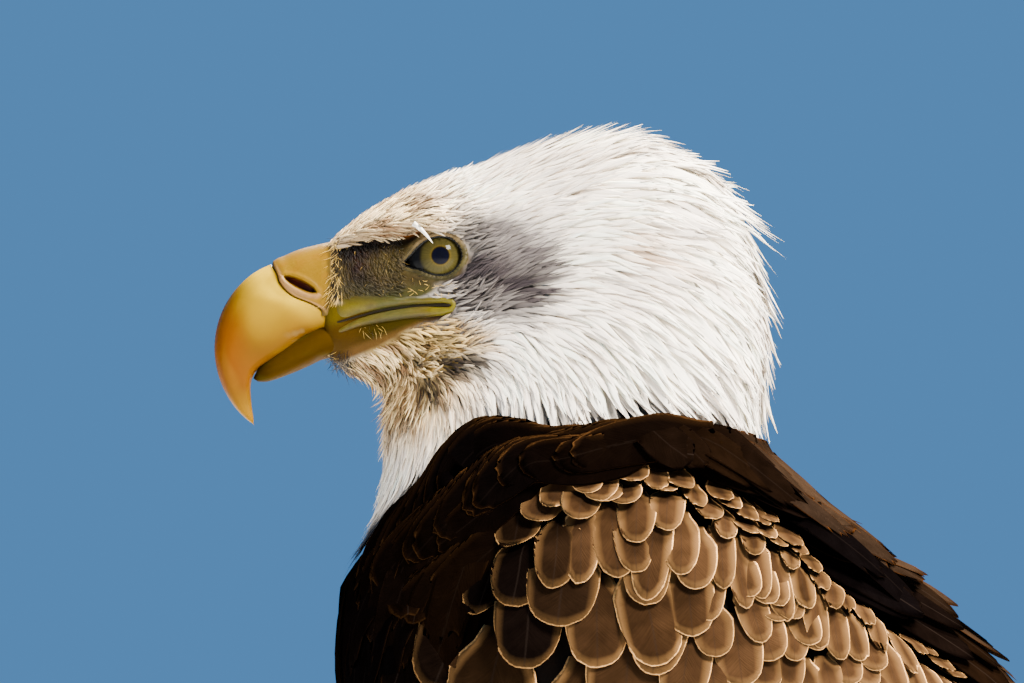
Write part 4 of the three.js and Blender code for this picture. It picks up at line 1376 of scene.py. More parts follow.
def scatter(spacing, inside, seed, flat=False):
    """Roots on the skin, spacing mm apart, wherever inside(places, facing, zone) holds.

    On request the distances are measured in side view.
    """
    ground = GROUND["skin"]
    rng = np.random.default_rng(seed)
    a, b, c = (ground.at[ground.corners[:, i]] for i in range(3))
    area = np.linalg.norm(np.cross(b - a, c - a), axis=1) / 2
    middle = (a + b + c) / 3
    zone = ground.zone[ground.corners[:, 0]]
    facing = unit(ground.facing[ground.corners].sum(1))
    area = area * np.abs(facing[:, 1]) if flat else area
    share = np.where(inside(middle, facing, zone), area / value_at(spacing, middle) ** 2, 0)
    count = int(share.sum() * 5)
    chosen = rng.choice(len(share), count, p=share / share.sum())
    one, two = rng.random((2, count, 1))
    fold = one + two > 1
    one, two = np.where(fold, 1 - one, one), np.where(fold, 1 - two, two)
    points = a[chosen] + one * (b - a)[chosen] + two * (c - a)[chosen]
    reach = value_at(spacing, points) * 0.86
    # In side view the two sides of the bird are a metre apart, so that they do not thin out one another.
    measured = np.stack([points[:, 0], np.sign(points[:, 1]) / MM, points[:, 2]], 1) if flat else points
    measured = measured.tolist()
    tree = KDTree(count)
    for i, p in enumerate(measured):
        tree.insert(p, i)
    tree.balance()
    alive = np.ones(count, bool)
    kept = []
    for i, p in enumerate(measured):
        if alive[i]:
            kept.append(i)
            for _, j, _ in tree.find_range(p, reach[i]):
                alive[j] = False
    return points[kept]


def settle(way, facing, keep_course):
    """Turns directions into a surface. On request, their course in side view stays as it was."""
    if keep_course:
        sideways = np.where(facing[:, 1] < 0, -1, 1) * np.maximum(np.abs(facing[:, 1]), 0.3)
        way = way * (1, 0, 1)
        way[:, 1] = np.clip(-(way * facing).sum(1) / sideways, -2, 2)
    return unit(way - facing * (way * facing).sum(1, keepdims=True))


def walk(ground, roots, lie, length, stations, yaw, hold, keep_course=False):
    """Follows the lie of the coat over a surface from each root, in even steps."""
    at, facing, room = ground.nearest(roots)
    way = lie(at)
    side = np.cross(facing, way)
    way = way * np.cos(yaw)[:, None] + unit(side) * np.sin(yaw)[:, None]
    way = settle(way, facing, keep_course)
    lines, ups, rooms = [at], [facing], [room]
    step = (length / (stations - 1))[:, None]
    turned = lie(at)
    for _ in range(stations - 1):
        at, facing, room = ground.nearest(at + way * step)
        wanted = lie(at)
        way = way * hold + (way + wanted - turned) * (1 - hold)
        turned = wanted
        way = settle(way, facing, keep_course)
        lines.append(at)
        ups.append(facing)
        rooms.append(room)
    return np.stack(lines, 1), np.stack(ups, 1), np.stack(rooms, 1)


# The line that the body's skin is unrolled about, from bill to tail.
SPINE = even([(-37, -12), (20, -6), (55, -25), (48, -90), (85, -180), (160, -280), (300, -400)], 160)


def patches(points):
    """Each root's place on the unrolled skin: round the spine and along it, spread evenly from 0 to 1."""
    flat = points[:, (0, 2)]
    away = ((flat[:, None] - SPINE) ** 2).sum(-1)
    near = away.argmin(axis=1)
    ahead = unit(np.gradient(SPINE, axis=0))[near]
    rel = flat - SPINE[near]
    along = near + (rel * ahead).sum(1) * 0.3
    up = rel @ np.array([1.0, 0]) * -ahead[:, 1] + rel @ np.array([0, 1.0]) * ahead[:, 0]
    round_it = np.arctan2(points[:, 1], up)
    ranked = np.stack([round_it.argsort().argsort(), along.argsort().argsort()], axis=1)
    return 0.01 + 0.98 * ranked / max(len(points) - 1, 1)


NO_EDGE = 50.0  # mm from the edge, given to the undersides and ends of the vanes


def feathers(name, lines, ups, half, reach, camber, roll, tints, rims, patch, edge_wear_and_light=(1.0, 1.0, 1.0)):
    """Joins many closed vanes in one mesh.

    lines and ups hold each feather's midline and the way its face looks at each station, half its half
    width there, reach the share of its length that each lengthwise strip of barbs runs to, and worn how
    much its left side, its right side and its tip are worn.
    """
    count, stations = half.shape
    columns = reach.shape[1]
    t = np.linspace(0, 1, stations)
    far = t[None, :, None] * reach[:, None, :] * (stations - 1)
    low = np.clip(far.astype(int), 0, stations - 2)
    share = (far - low)[..., None]
    each = np.arange(count)[:, None, None]
    ahead = unit(np.gradient(lines, axis=1))
    sides = unit(np.cross(ups, ahead))
    tilt_cos, tilt_sin = np.cos(roll)[:, None, None], np.sin(roll)[:, None, None]
    lean_up = ups * tilt_cos + sides * tilt_sin
    lean_side = sides * tilt_cos - ups * tilt_sin
    at = lines[each, low] * (1 - share) + lines[each, low + 1] * share
    up = lean_up[each, low] * (1 - share) + lean_up[each, low + 1] * share
    side = lean_side[each, low] * (1 - share) + lean_side[each, low + 1] * share
    across = strip_places(columns)
    wide = half[:, :, None]
    arch = camber * wide * (1 - across**2) * (1 - 0.6 * t[None, :, None])
    at = at + side * (wide * across)[..., None] + up * arch[..., None]

    block = np.arange(count)[:, None, None] * stations * columns
    row = block + np.arange(stations)[None, :, None] * columns
    here = np.arange(columns)[None, None, :]
    beside = (here + 1) % columns
    quads = np.stack(
        [row[:, :-1] + here, row[:, 1:] + here, row[:, 1:] + beside, row[:, :-1] + beside], axis=-1
    ).reshape(-1)
    ends = np.stack([row[:, 0] + here[0], row[:, -1] + here[0, :, ::-1]], axis=1).reshape(-1)
    corners = np.concatenate([quads, ends]).astype(np.int32)
    quad_count = len(quads) // 4
    starts = np.concatenate(
        [np.arange(quad_count) * 4, quad_count * 4 + np.arange(2 * count) * columns]
    ).astype(np.int32)
    mesh = bpy.data.meshes.new(name)
    mesh.vertices.add(count * stations * columns)
    mesh.vertices.foreach_set("co", to_world(at).astype(np.float32).ravel())
    mesh.loops.add(len(corners))
    mesh.loops.foreach_set("vertex_index", corners)
    mesh.polygons.add(len(starts))
    mesh.polygons.foreach_set("loop_start", starts)
    mesh.update(calc_edges=True)
    mesh.shade_smooth()
    u = np.broadcast_to((across + 1) / 2, at.shape[:3])
    vane = np.stack([u, np.broadcast_to(t[None, :, None], u.shape)], axis=-1)
    for key, values in (("vane", vane), ("OFBake", patch[:, None, None] + (vane - 0.5) * 0.003)):
        layer = mesh.uv_layers.new(name=key)
        layer.data.foreach_set("uv", values.reshape(-1, 2)[corners].astype(np.float32).ravel())
    piece = bpy.data.objects.new(name, mesh)
    bpy.context.collection.objects.link(piece)
    paint(piece, np.broadcast_to(tints[:, :, None], at.shape).reshape(-1, 3))
    if rims is not None:
        paint(piece, np.broadcast_to(rims[:, None, None], at.shape).reshape(-1, 3), "rim")
        # How far each point is from the nearest worn edge, in mm.
        long = np.linalg.norm(np.diff(lines, axis=1), axis=-1).sum(1)[:, None, None]
        to_tip = (1 - t)[None, :, None] * reach[:, None, :] * long
        gaps = [wide * (1 + across), wide * (1 - across), to_tip]
        edge = np.minimum.reduce([np.broadcast_to(g / max(w, 0.01), u.shape) for g, w in zip(gaps, edge_wear_and_light)])
        values = edge.reshape(-1)[corners]
        values[: 4 * quad_count].reshape(count, stations - 1, columns, 4)[:, :, -1] = NO_EDGE
        values[4 * quad_count :] = NO_EDGE
        layer = mesh.attributes.new("edge", "FLOAT", "CORNER")
        layer.data.foreach_set("value", values.astype(np.float32))
    return piece


def hackle_outline(t):
    """A narrow pointed feather."""
    return np.sin(math.pi * (0.14 + 0.855 * t)) ** 0.75


def spike_outline(t):
    """A slender feather drawn out to a long point."""
    return (0.5 + 0.5 * smooth(0, 0.3, t)) * np.clip(1.03 - smooth(0.3, 1.3, t) * 1.25, 0.03, 1)


def lock_outline(t):
    """A soft lock of barbs that narrows to a point over its last half."""
    return (0.6 + 0.4 * smooth(0, 0.3, t)) * (1 - 0.94 * smooth(0.35, 1.05, t))


def contour_outline(t):
    """A broad feather that keeps its width to a blunt end."""
    return (0.45 + 0.55 * smooth(0, 0.45, t)) * (1 - 0.1 * smooth(0.75, 1, t))


def quill_outline(t):
    """A long stiff feather with nearly straight sides."""
    return (0.55 + 0.45 * smooth(0, 0.35, t)) * (1 - 0.35 * smooth(0.75, 1, t))


def strip_places(columns):
    """Where the lengthwise strips of barbs lie across a feather, closer together at its sides."""
    even_places = np.linspace(-1, 1, columns)
    return even_places if columns < 5 else 0.5 * even_places + 0.5 * np.sin(even_places * math.pi / 2)


def strips(rng, count, columns, blunt, fray):
    """How far each strip of barbs runs: a round end, blunt times the length deep, and a little ragged."""
    across = strip_places(columns)
    fray = np.broadcast_to(fray, count)[:, None]
    reach = 1 - blunt * (1 - np.sqrt(1 - 0.97 * across**2)) + fray * rng.uniform(-1, 0.5, (count, columns))
    return np.clip(reach, 0.3, 1)


def plain_coat(
    name, roots, anchors, length, width, seed, stations=5, columns=3, blunt=0.0, fray=0.0, camber=0.4,
    yaw=0.12, roll=0.3, hold=0.5, outline=hackle_outline, lift=curve((0, 0.12), (1, 1)), loose=0.25,
    colour=plumage, root_shade=0.35, rims=None, streak=0.12, flare=None, keep_off=None, side_on=0.0,
    free=0.0, edge_wear_and_light=(1.0, 1.0, 1.0), thin=1.0,
):
    """Grows one joined coat of like feathers from its roots over the skin.

    Where keep_off is given, feathers stop before the places where it holds. Where side_on is given, they
    keep their course and length in side view and turn their faces that much further sideways. free is
    how much of a straight course the tips keep where the body curves away.
    """
    skin, lie = GROUND["skin"], lie_field(anchors)
    rng = np.random.default_rng(seed)
    t = np.linspace(0, 1, stations)
    usual = value_at(length, roots)
    long = usual * rng.uniform(0.8, 1.2, len(roots))
    turn = rng.normal(0, yaw, len(roots))
    if side_on > 0:
        at, facing, _ = skin.nearest(roots)
        long = long / np.maximum(np.linalg.norm(settle(lie(at), facing, True)[:, (0, 2)], axis=1), 0.4)
    if keep_off is not None:
        entered = keep_off(walk(skin, roots, lie, long, stations, turn, hold, side_on > 0)[0])
        long = long * np.where(entered.any(1), entered.argmax(1) / (stations - 1), 1)
        chosen = long > 0.35 * usual
        roots, long, turn = roots[chosen], long[chosen], turn[chosen]
    count = len(roots)
    wide = value_at(width, roots) * rng.uniform(0.85, 1.15, count)
    lines, ups, room = walk(skin, roots, lie, long, stations, turn, hold, side_on > 0)
    ups = unit(ups + side_on * np.sign(roots[:, None, 1:2]) * (0, 1, 0))
    if free > 0:
        straight = lines[:, :1] + unit(lines[:, 1:2] - lines[:, :1]) * (long[:, None] * t)[..., None]
        lines = lines + (straight - lines) * free * t[:, None]
    stand = room * lift(t) * (1 + loose * rng.uniform(-1, 0.6, (count, 1)) * t)
    stand = stand * value_at(thin, roots, ups[:, 0])[:, None]
    if flare is not None:
        off = value_at(flare, roots, ups[:, 0]) * rng.uniform(0, 1, count) ** 1.5
        stand = stand + off[:, None] * t**1.4
    lines = lines + ups * stand[..., None]
    half = wide[:, None] / 2 * outline(t)
    shown = lines[:, int(0.65 * stations)]
    tint = colour(shown)[:, None] * (1 + streak * rng.normal(0, 1, (count, 1, 1)))
    # Each feather is darker towards its root: painted shade where the feathers above overlap it.
    tint = tint * (1 - root_shade * (1 - smooth(0, 0.6, t)))[None, :, None]
    rim = None if rims is None else rims(shown) * rng.uniform(0.75, 1.2, (count, 1))
    reach = strips(rng, count, columns, blunt, value_at(fray, roots))
    tilt = rng.normal(0, roll, count)
    return feathers(
        name, lines, ups, half, reach, camber, tilt, np.clip(tint, 0, 0.95), rim, patches(roots), edge_wear_and_light
    )


def from_bill(points):
    return np.hypot(points[..., 0] + 37, points[..., 2] + 9)


def behind_head(points, facing):
    """1 along the back of the crown, nape and neck, where the longest hackles stand off."""
    return smooth(0.25, 0.7, facing[:, 0] + 0.6 * facing[:, 2].clip(0)) * smooth(34, 60, points[:, 0])


def throat_flare(points, facing):
    """How far the chin and throat feathers stand off in front, in mm."""
    return 5.0 * smooth(0.1, 0.6, -facing[:, 0]) * hump(points[:, 2], -42, 8) * (points[:, 0] < 0)


# ---------- the white coat ----------
def by_bill(*knots):
    """A size that changes with the distance from the bill."""
    size = curve(*knots)
    return lambda points: size(from_bill(points))


def make_face_coat():
    """The short hair-like feathers of the face, from the bill to the back of the eye."""
    roots = scatter(
        by_bill((0, 1.0), (30, 1.1), (52, 1.4)),
        lambda p, n, z: (from_bill(p) < 52) & (bare(p) < 0.45) & (p[:, 2] > -75),
        101,
    )
    piece = plain_coat(
        "face_feathers", roots, HEAD_LIE,
        by_bill((0, 2.4), (15, 3.6), (30, 5.0), (52, 8.0)), by_bill((0, 0.6), (30, 0.85), (52, 1.1)),
        102, stations=4, lift=curve((0, 0.25), (1, 1.5)), yaw=0.2, loose=0.5, camber=0.25, root_shade=0.25,
        flare=throat_flare,
    )
    finish_piece(piece, hackle_material("face_feather_keratin", 0.6), "white_plumage")


def bristle_colour(points):
    """Bristles are dark or cream, in no order."""
    s = bpy.context.scene.eagle_plumage
    pale = smooth(-0.05, 0.15, mottle(points, 0.5, 105)) * (1 - 0.75 * hump(points[:, 0], -22, 7))
    return blend(s.gap, (s.cream, pale * (points[:, 2] > -31)))


def bristle_places(points):
    """Front of the lore, the lore, under the eye, jaw and chin: where the bristles of each kind grow."""
    x, z = points[:, 0], points[:, 2]
    front = (x < -30.8) & (x > -35.5) & (z > -14) & (z < 5)
    lore = (bare(points) > 0.5) & (z > -14) & (x < -12)
    under_eye = oval(x, z, (-5, -11), 10, 3.5, 0.2) > 0.5
    jaw = oval(x, z, (-21, -23.5), 4, 1.6, 0.2) > 0.5
    chin = (x < -28) & (z < -30) & (z > -40)
    return front, lore, under_eye, jaw, chin


def by_kind(values, other):
    """A size for each kind of bristle."""
    return lambda points: np.select(bristle_places(points), values, other)


BRISTLE_LIE = (
    (-36, 2, 118), (-36, -12, 125), (-30, -6, 80), (-20, -6, 55), (-6, -11, 15), (-21, -23, 30),
    (-34, -33, 120),
)
DOWN_LIE = ((-36, 2, 100), (-36, -12, 100), (-22, 0, 60), (-24, -12, 30), (-10, -10, 10))


def make_bristles():
    """The sparse fine bristles of the bare face, round the bill's base, under the eye and on the chin."""
    roots = scatter(
        by_kind((0.46, 2.4, 1.35, 1.0, 0.9), 1.0),
        lambda p, n, z: np.any(bristle_places(p), axis=0) & (np.abs(p[:, 1]) > 4),
        103,
    )
    roots = roots[round_eye(roots)[0] > 9]
    piece = plain_coat(
        "face_bristles", roots, BRISTLE_LIE,
        by_kind((4.4, 2.0, 2.6, 2.0, 9.0), 3.0), by_kind((0.13, 0.11, 0.15, 0.13, 0.16), 0.2),
        104, stations=5, lift=curve((0, 0.1), (1, 3.0)), yaw=0.45, loose=0.6, camber=0.5, root_shade=0.0,
        colour=bristle_colour, streak=0.1, hold=0.9, flare=lambda p, n: 1.3 + 1.2 * (p[:, 0] < -30),
    )
    finish_piece(piece, hackle_material("bristle_keratin", 0.5), "white_plumage")

    # A nap of very short dark down covers the skin between them.
    roots = scatter(0.62, lambda p, n, z: (bare(p) > 0.3) & bristle_places(p)[1], 105)
    roots = roots[round_eye(roots)[0] > 9.5]
    piece = plain_coat(
        "lore_down", roots, DOWN_LIE, 2.0, 0.42,
        106, stations=3, lift=curve((0, 0.1), (1, 1.4)), yaw=0.35, loose=0.6, camber=0.4, root_shade=0.2,
        colour=skin_colour, streak=0.16,
    )
    finish_piece(piece, hackle_material("lore_down_keratin", 0.7), "face_skin")


def make_brow_feathers():
    """Feathers that stream back over the brow's edge, and one that hangs over the front of each eye."""
    s = bpy.context.scene.eagle_plumage
    skin = GROUND["skin"]
    rng = np.random.default_rng(311)
    t = np.linspace(0, 1, 7)
    lines, ups = [], []
    for _, side in SIDES:
        flats = []
        for x in np.arange(-35, -3, 0.55):
            start = np.array([x, BROW_EDGE(x) + rng.uniform(-0.3, 2.6) + 1.4 * hump(x, -12, 5)])
            turn = math.radians(rng.normal(-8 + 16 * smooth(-34, -12, x), 7))
            long = rng.uniform(5, 8.5)
            flats.append((start + (t * long)[:, None] * (math.cos(turn), -math.sin(turn)), 0.4 + 1.1 * t))
        hanging = path([(-8.4, 8.6), (-6.4, 7.0), (-4.3, 4.8), (-2.3, 2.3)])(t)
        flats.append((hanging, 1.3 + 1.2 * smooth(0, 0.4, t)))
        for flat, stand in flats:
            at, facing, _ = skin.nearest(skin.side_view(flat[:, 0], flat[:, 1], side))
            least = eye_face(np.float64(0)) * (flat[:, 0] > -9)
            at[:, 1] = side * relax_line(np.maximum(np.abs(at[:, 1]), least), 3)
            lines.append(at + (0, side, 0) * stand[:, None])
            ups.append(unit(facing + (0, side, 0)))
    lines, ups = np.array(lines), np.array(ups)
    count = len(lines)
    last = slice(count // 2 - 1, None, count // 2)  # the hanging feather of each side
    half = rng.uniform(0.4, 0.65, (count, 1)) * hackle_outline(t)
    half[last] = 0.85 * (1 - t) ** 0.75 + 0.04
    # The brow feathers are darker towards their roots: painted shade.
    tint = plumage(lines[:, 0])[:, None] * rng.uniform(0.7, 1.05, (count, 1, 1)) * (0.75 + 0.25 * t)[:, None]
    tint[last] = s.white
    reach = strips(rng, count, 3, 0, 0)
    tilt = rng.normal(0, 0.2, count)
    tint = np.clip(tint, 0, 0.95)
    piece = feathers("brow_feathers", lines, ups, half, reach, 0.25, tilt, tint, None, patches(lines[:, 0]))
    finish_piece(piece, hackle_material("brow_feather_keratin", 0.55), "white_plumage")


def make_head_coat():
    """The longer feathers of the crown and cheeks."""
    roots = scatter(
        by_bill((48, 1.35), (70, 1.8), (88, 2.3)),
        lambda p, n, z: (from_bill(p) >= 50) & (from_bill(p) < 86) & (white_zone(p) > 0.4) & (p[:, 0] < 118),
        111,
    )
    piece = plain_coat(
        "head_feathers", roots, HEAD_LIE,
        by_bill((48, 9), (65, 15), (86, 24)), by_bill((48, 1.3), (65, 2.2), (86, 3.4)),
        112, stations=6, columns=5, fray=0.1, lift=curve((0, 0.15), (1, 1.1)), yaw=0.1, loose=0.3,
        camber=0.14, root_shade=0.05, streak=0.05, outline=lock_outline, roll=0.12,
    )
    finish_piece(piece, hackle_material("crown_feather_keratin", 0.6), "white_plumage")


def unless_throat(throat, size):
    """One size on the throat, and another that depends on the place elsewhere."""
    return lambda p: np.where((p[:, 2] < -34) & (p[:, 0] < 18), throat, size(p))


def make_neck_coat():
    """The long pointed hackles of the nape, neck and throat, one piece for each side."""
    material = hackle_material("hackle_keratin", 0.58)
    start = unless_throat(50, lambda p: 84)
    for word, side in SIDES:
        roots = scatter(
            unless_throat(2.1, by_bill((84, 2.3), (100, 2.9))),
            lambda p, n, z: (
                (from_bill(p) >= start(p))
                & (over_collar(p) > 12 + 10 * smooth(80, 100, p[:, 0]))
                & (p[:, 0] < 118)
                & (p[:, 1] * side >= 0)
            ),
            120 + side,
        )
        piece = plain_coat(
            f"neck_hackles_{word}", roots, HEAD_LIE,
            unless_throat(17, by_bill((84, 24), (100, 34), (125, 38))),
            unless_throat(1.3, by_bill((84, 3.4), (100, 5.2), (125, 6.2))),
            130 + side, stations=8, columns=7, fray=0.12, lift=curve((0, 0.1), (1, 1.0)), yaw=0.08, loose=0.2,
            camber=0.14, root_shade=0.05, streak=0.04, outline=lock_outline, roll=0.12, flare=throat_flare,
            thin=lambda p, n: (1 - 0.65 * behind_head(p, n)) * (1 - 0.35 * smooth(30, 12, over_collar(p))),
            keep_off=lambda p: over_collar(p) < -12 + 10 * smooth(50, 80, p[..., 0]),
        )
        finish_piece(piece, material, "white_plumage")


def make_nape_hackles():
    """The loose pointed hackles that stand off behind the crown and down the nape."""
    roots = scatter(
        4.4,
        lambda p, n, z: (z == TRUNK) & (over_collar(p) > 24) & (behind_head(p, n) > 0.5),
        141,
    )
    piece = plain_coat(
        "nape_hackles", roots, HEAD_LIE, lambda p: 26 + 6 * smooth(34, 80, p[:, 0]), 3.6,
        142, stations=6, columns=3, lift=curve((0, 0.1), (0.5, 0.2), (1, 0.25)), yaw=0.1, loose=0.2, hold=0.9,
        camber=0.2, root_shade=0.05, streak=0.05, roll=0.3, flare=1.5, free=0.65, outline=spike_outline,
        keep_off=lambda p: over_collar(p) < 3,
    )
    finish_piece(piece, hackle_material("nape_hackle_keratin", 0.55), "white_plumage")


# ---------- the brown coat ----------
# The line of the back in side view, from the nape down.
BACK = curve(
    (85, -46), (103, -60), (114, -73), (125, -82), (140, -90), (152, -99), (167, -117), (177, -132),
    (300, -330),
)


def mantle(points):
    """1 along the top of the back, where the brown is lighter and downy, falling to 0 below it."""
    x, z = points[..., 0], points[..., 2]
    ridge = smooth(44, 60, x) * smooth(-5.5, -1, over_collar(points)) * (x < 100)
    return np.maximum(ridge, smooth(-9.5, -5.5, z - BACK(x)) * smooth(78, 92, x))


def brown_colour(points):
    """Dark brown, patchy, never white."""
    s = bpy.context.scene.eagle_plumage
    # The brown and blackish carry painted shade.
    return blend(
        s.brown,
        (s.blackish, 0.6 + 0.4 * mottle(points, 30, 5)),
        ("#261b12", 0.75 * mantle(points) * (0.7 + 0.3 * mottle(points, 8, 6))),
        (s.white, tail_zone(points)),
    )


def brown_rims(points):
    """The edges of the body feathers: russet, and blackish in the collar."""
    s = bpy.context.scene.eagle_plumage
    x, z = points[:, 0], points[:, 2]
    return blend(
        s.brown,
        (s.russet, 0.3 + 0.25 * mottle(points, 25, 141)),
        (s.blackish, 0.85 * smooth(4, 20, x) * smooth(-90, -75, z + 0.9 * np.maximum(x - 90, 0))),
        (s.tan, 0.3 * mantle(points)),
        (s.white, tail_zone(points)),
    )


# The upper edge of the scalloped part of the folded wing, in side view.
WING_TOP = curve(
    (9, -98), (18, -78), (30, -67), (56, -61), (75, -67), (96, -77), (105, -84), (113, -95), (134, -112),
    (156, -128), (200, -178), (260, -245),
)


def on_wing(points, grow=0.0):
    """Whether places lie over the scalloped part of a wing, grown by so many mm, in side view."""
    x, z = points[..., 0], points[..., 2]
    front = curve((-190, 40), (-150, 14), (-120, 8), (-95, 9), (-60, 9))(z) - grow
    return (z < WING_TOP(x) + grow) & (x > front) & (z > -200 - 0.5 * x) & (np.abs(points[..., 1]) > 15)


def make_collar():
    """The dark cape of long loose feathers round the foot of the neck."""
    roots = scatter(
        lambda p: 6 - 1.2 * mantle(p),
        lambda p, n, z: (
            (over_collar(p) < -5 - 4 * smooth(30, 10, p[:, 0]))
            & (over_collar(p) > -36)
            & (p[:, 0] < 112)
            & ~on_wing(p, -3.0)
        ),
        151,
    )
    piece = plain_coat(
        "collar_feathers", roots, COLLAR_LIE,
        lambda p: 46 - 10 * smooth(25, 50, p[:, 0]) - 6 * mantle(p), lambda p: 15 - 5 * mantle(p),
        152, stations=9, columns=11, blunt=0.3, fray=0.12, camber=0.08, yaw=0.07, roll=0.07, hold=0.3,
        outline=contour_outline, lift=curve((0, 0.25), (0.2, 0.85), (0.6, 0.95), (1, 0.9)),
        colour=brown_colour, rims=brown_rims, keep_off=lambda p: on_wing(p, -2.5), edge_wear_and_light=(0.6, 0.6, 0.6),
    )
    finish_piece(piece, contour_material("collar_keratin", 0.4, 0.15, 0.75, 0.2, 2.0), "brown_plumage")


# The upper edges of the cape's folds, from the back of the neck down to the breast, in side view.
FOLDS = (
    (
        (84, -50), (56, -52.5), (34, -55), (24, -53), (14, -52.5), (3, -58), (-8, -70.5), (-18, -82),
        (-25, -92), (-29, -104),
    ),
    (
        (66, -55), (44, -58.5), (26, -57.5), (15, -62.5), (4, -71.5), (-8, -81), (-19, -90), (-26, -99),
        (-29, -112),
    ),
    ((32, -63), (18, -68), (4, -78), (-12, -86), (-24, -94), (-30, -103), (-31, -117)),
    ((24, -78), (6, -91), (-12, -103), (-24, -112), (-29, -123), (-30, -138)),
)
FOLD_LENGTH, FOLD_WIDTH = 48.0, 16.0  # of one feather in a fold, in mm
FOLD_STEP = 8.5  # mm from one feather to the next along a fold


def level_with_skin(flat, side, ground):
    """Side-view places set on a surface, with the places that miss it filled in from the others."""
    over = ground.side_view(flat[:, 0], flat[:, 1], side)
    found = np.flatnonzero(over[:, 1] != 0)
    over[:, 1] = np.interp(np.arange(len(over)), found, over[found, 1])
    return over


def make_cape_folds():
    """The long feathers of the cape, laid edge along edge so that each fold has one smooth lit rim."""
    s = bpy.context.scene.eagle_plumage
    material = contour_material("cape_keratin", 0.45, 0.1, 0.75, 0.2, 2.5)
    rng = np.random.default_rng(301)
    t = np.linspace(0, 1, 12)
    for word, side in SIDES:
        lines, ups, fray = [], [], []
        for order, knots in enumerate(FOLDS):
            edge = even(knots, 300)
            whole = np.linalg.norm(np.diff(edge, axis=0), axis=1).sum()
            count = max(int(whole / FOLD_STEP), 4)
            for j in range(count):
                start = (whole - 1.1 * FOLD_LENGTH) * j / (count - 1)
                along = start + t * FOLD_LENGTH * rng.uniform(0.85, 1.1)
                flat = np.stack([np.interp(along, np.linspace(0, whole, 300), c) for c in edge.T], axis=1)
                ahead = unit(np.gradient(flat, axis=0))
                down = np.stack([-ahead[:, 1], ahead[:, 0]], axis=1)
                drop = FOLD_WIDTH * (0.44 + 0.04 * rng.uniform(-1, 1) + 0.25 * t**2)
                over = level_with_skin(flat + down * drop[:, None], side, GROUND["skin"])
                _, facing, room = GROUND["skin"].nearest(over)
                least = side * relax_line(over[:, 1], 8)
                over[:, 1] = side * relax_line(np.maximum(np.abs(over[:, 1]), least), 3)
                facing = np.stack([relax_line(c, 10) for c in facing.T], axis=1)
                # Each fold lies a little over the next one down, and a feather's root is tucked in.
                stand = 0.8 * relax_line(room, 6) + len(FOLDS) - order - 2.2 * (1 - smooth(0, 0.5, t)) + t
                lines.append(over + stand[:, None] * (0, side, 0))
                ups.append(unit(facing + (0, 0.6 * side, 0)))
                fray.append(0.03 + 0.05 * (j > count - 4))
        lines, ups = np.array(lines), np.array(ups)
        count = len(lines)
        half = FOLD_WIDTH / 2 * rng.uniform(0.95, 1.05, (count, 1)) * contour_outline(t)
        tint = brown_colour(lines) * rng.uniform(0.6, 0.9, (count, 1, 1))
        rims = blend(s.russet, (s.brown, 0.3 * rng.random(count)))
        reach = strips(rng, count, 13, 0.3, np.array(fray))
        # Only the upper edge of each fold shows the russet rim: a painted sunlit edge.
        piece = feathers(
            f"cape_folds_{word}", lines, ups, half, reach, 0.1, rng.normal(0, 0.03, count), tint, rims,
            patches(lines[:, 0]), (1.0, 0.1, 0.1) if side < 0 else (0.1, 1.0, 0.1),
        )
        finish_piece(piece, material, "brown_plumage")


def between_wings(points, facing):
    """The upper and inner faces of the folded wings' rear halves, left bare by the small wing feathers."""
    inward = facing[:, 1] * np.sign(points[:, 1]) < 0.35
    behind = inward | (wing_measures(points)[0] > 325)
    return behind & (points[:, 0] > 175) & (points[:, 2] > -430) & (np.abs(points[:, 1]) > 8)


def body_parts(points, facing, zone):
    """The body below the collar, the wings' upper edges, and the rear of the wings that has no scallops."""
    shoulder = (zone == WING) & (points[:, 2] > WING_TOP(points[:, 0]) - 3) & (points[:, 0] < 200)
    return ((zone == TRUNK) | shoulder | between_wings(points, facing)) & (over_collar(points) < -10)


def make_body_coat():
    """Breast, back, belly and rump, in large overlapping feathers."""
    material = contour_material("body_keratin", 0.6, 0.4, 0.7, 0.25, 3.0)
    for name, front, seed in (("breast_feathers", True, 161), ("back_feathers", False, 171)):
        roots = scatter(
            lambda p: 10.5 - 3.0 * mantle(p),
            lambda p, n, z: ((n[:, 0] < 0.25) == front) & body_parts(p, n, z),
            seed,
        )
        piece = plain_coat(
            name, roots, BODY_LIE, lambda p: 38 - 10 * mantle(p), lambda p: 17 - 6 * mantle(p),
            seed + 1, stations=7, columns=9, blunt=0.3, fray=lambda p: 0.05 + 0.1 * mantle(p), camber=0.08,
            yaw=0.1, roll=0.07, outline=contour_outline, colour=brown_colour, rims=brown_rims,
            keep_off=lambda p: on_wing(p, -2.0) & (p[..., 0] < 165),
        )
        finish_piece(piece, material, "brown_plumage")


def make_thigh_coat():
    """The soft feathered trousers of the legs."""
    roots = scatter(7.5, lambda p, n, z: (z == THIGH) & (p[:, 2] > -487), 181)
    piece = plain_coat(
        "thigh_feathers", roots, THIGH_LIE,
        lambda p: curve((-490, 14), (-470, 20), (-430, 32), (-300, 36))(p[:, 2]),
        lambda p: curve((-490, 6), (-460, 9), (-400, 12), (-300, 14))(p[:, 2]),
        182, stations=6, columns=5, blunt=0.3, fray=0.06, camber=0.15, roll=0.12, outline=contour_outline,
        rims=brown_rims, streak=0.15,
    )
    finish_piece(piece, contour_material("thigh_keratin", 0.5, 0.3, 0.7, 0.25, 2.5), "brown_plumage")


# ---------- wings ----------
AXIS = math.radians(50)
AHEAD = np.array([math.cos(AXIS), -math.sin(AXIS)])  # along the folded wing
UPWARD = np.array([math.sin(AXIS), math.cos(AXIS)])  # across it, towards the back


def wing_place(along, across):
    """Side-view place from distances along and across the folded wing."""
    return np.asarray(along)[..., None] * AHEAD + np.asarray(across)[..., None] * UPWARD


def wing_measures(points):
    flat = points[..., (0, 2)]
    return flat @ AHEAD, flat @ UPWARD


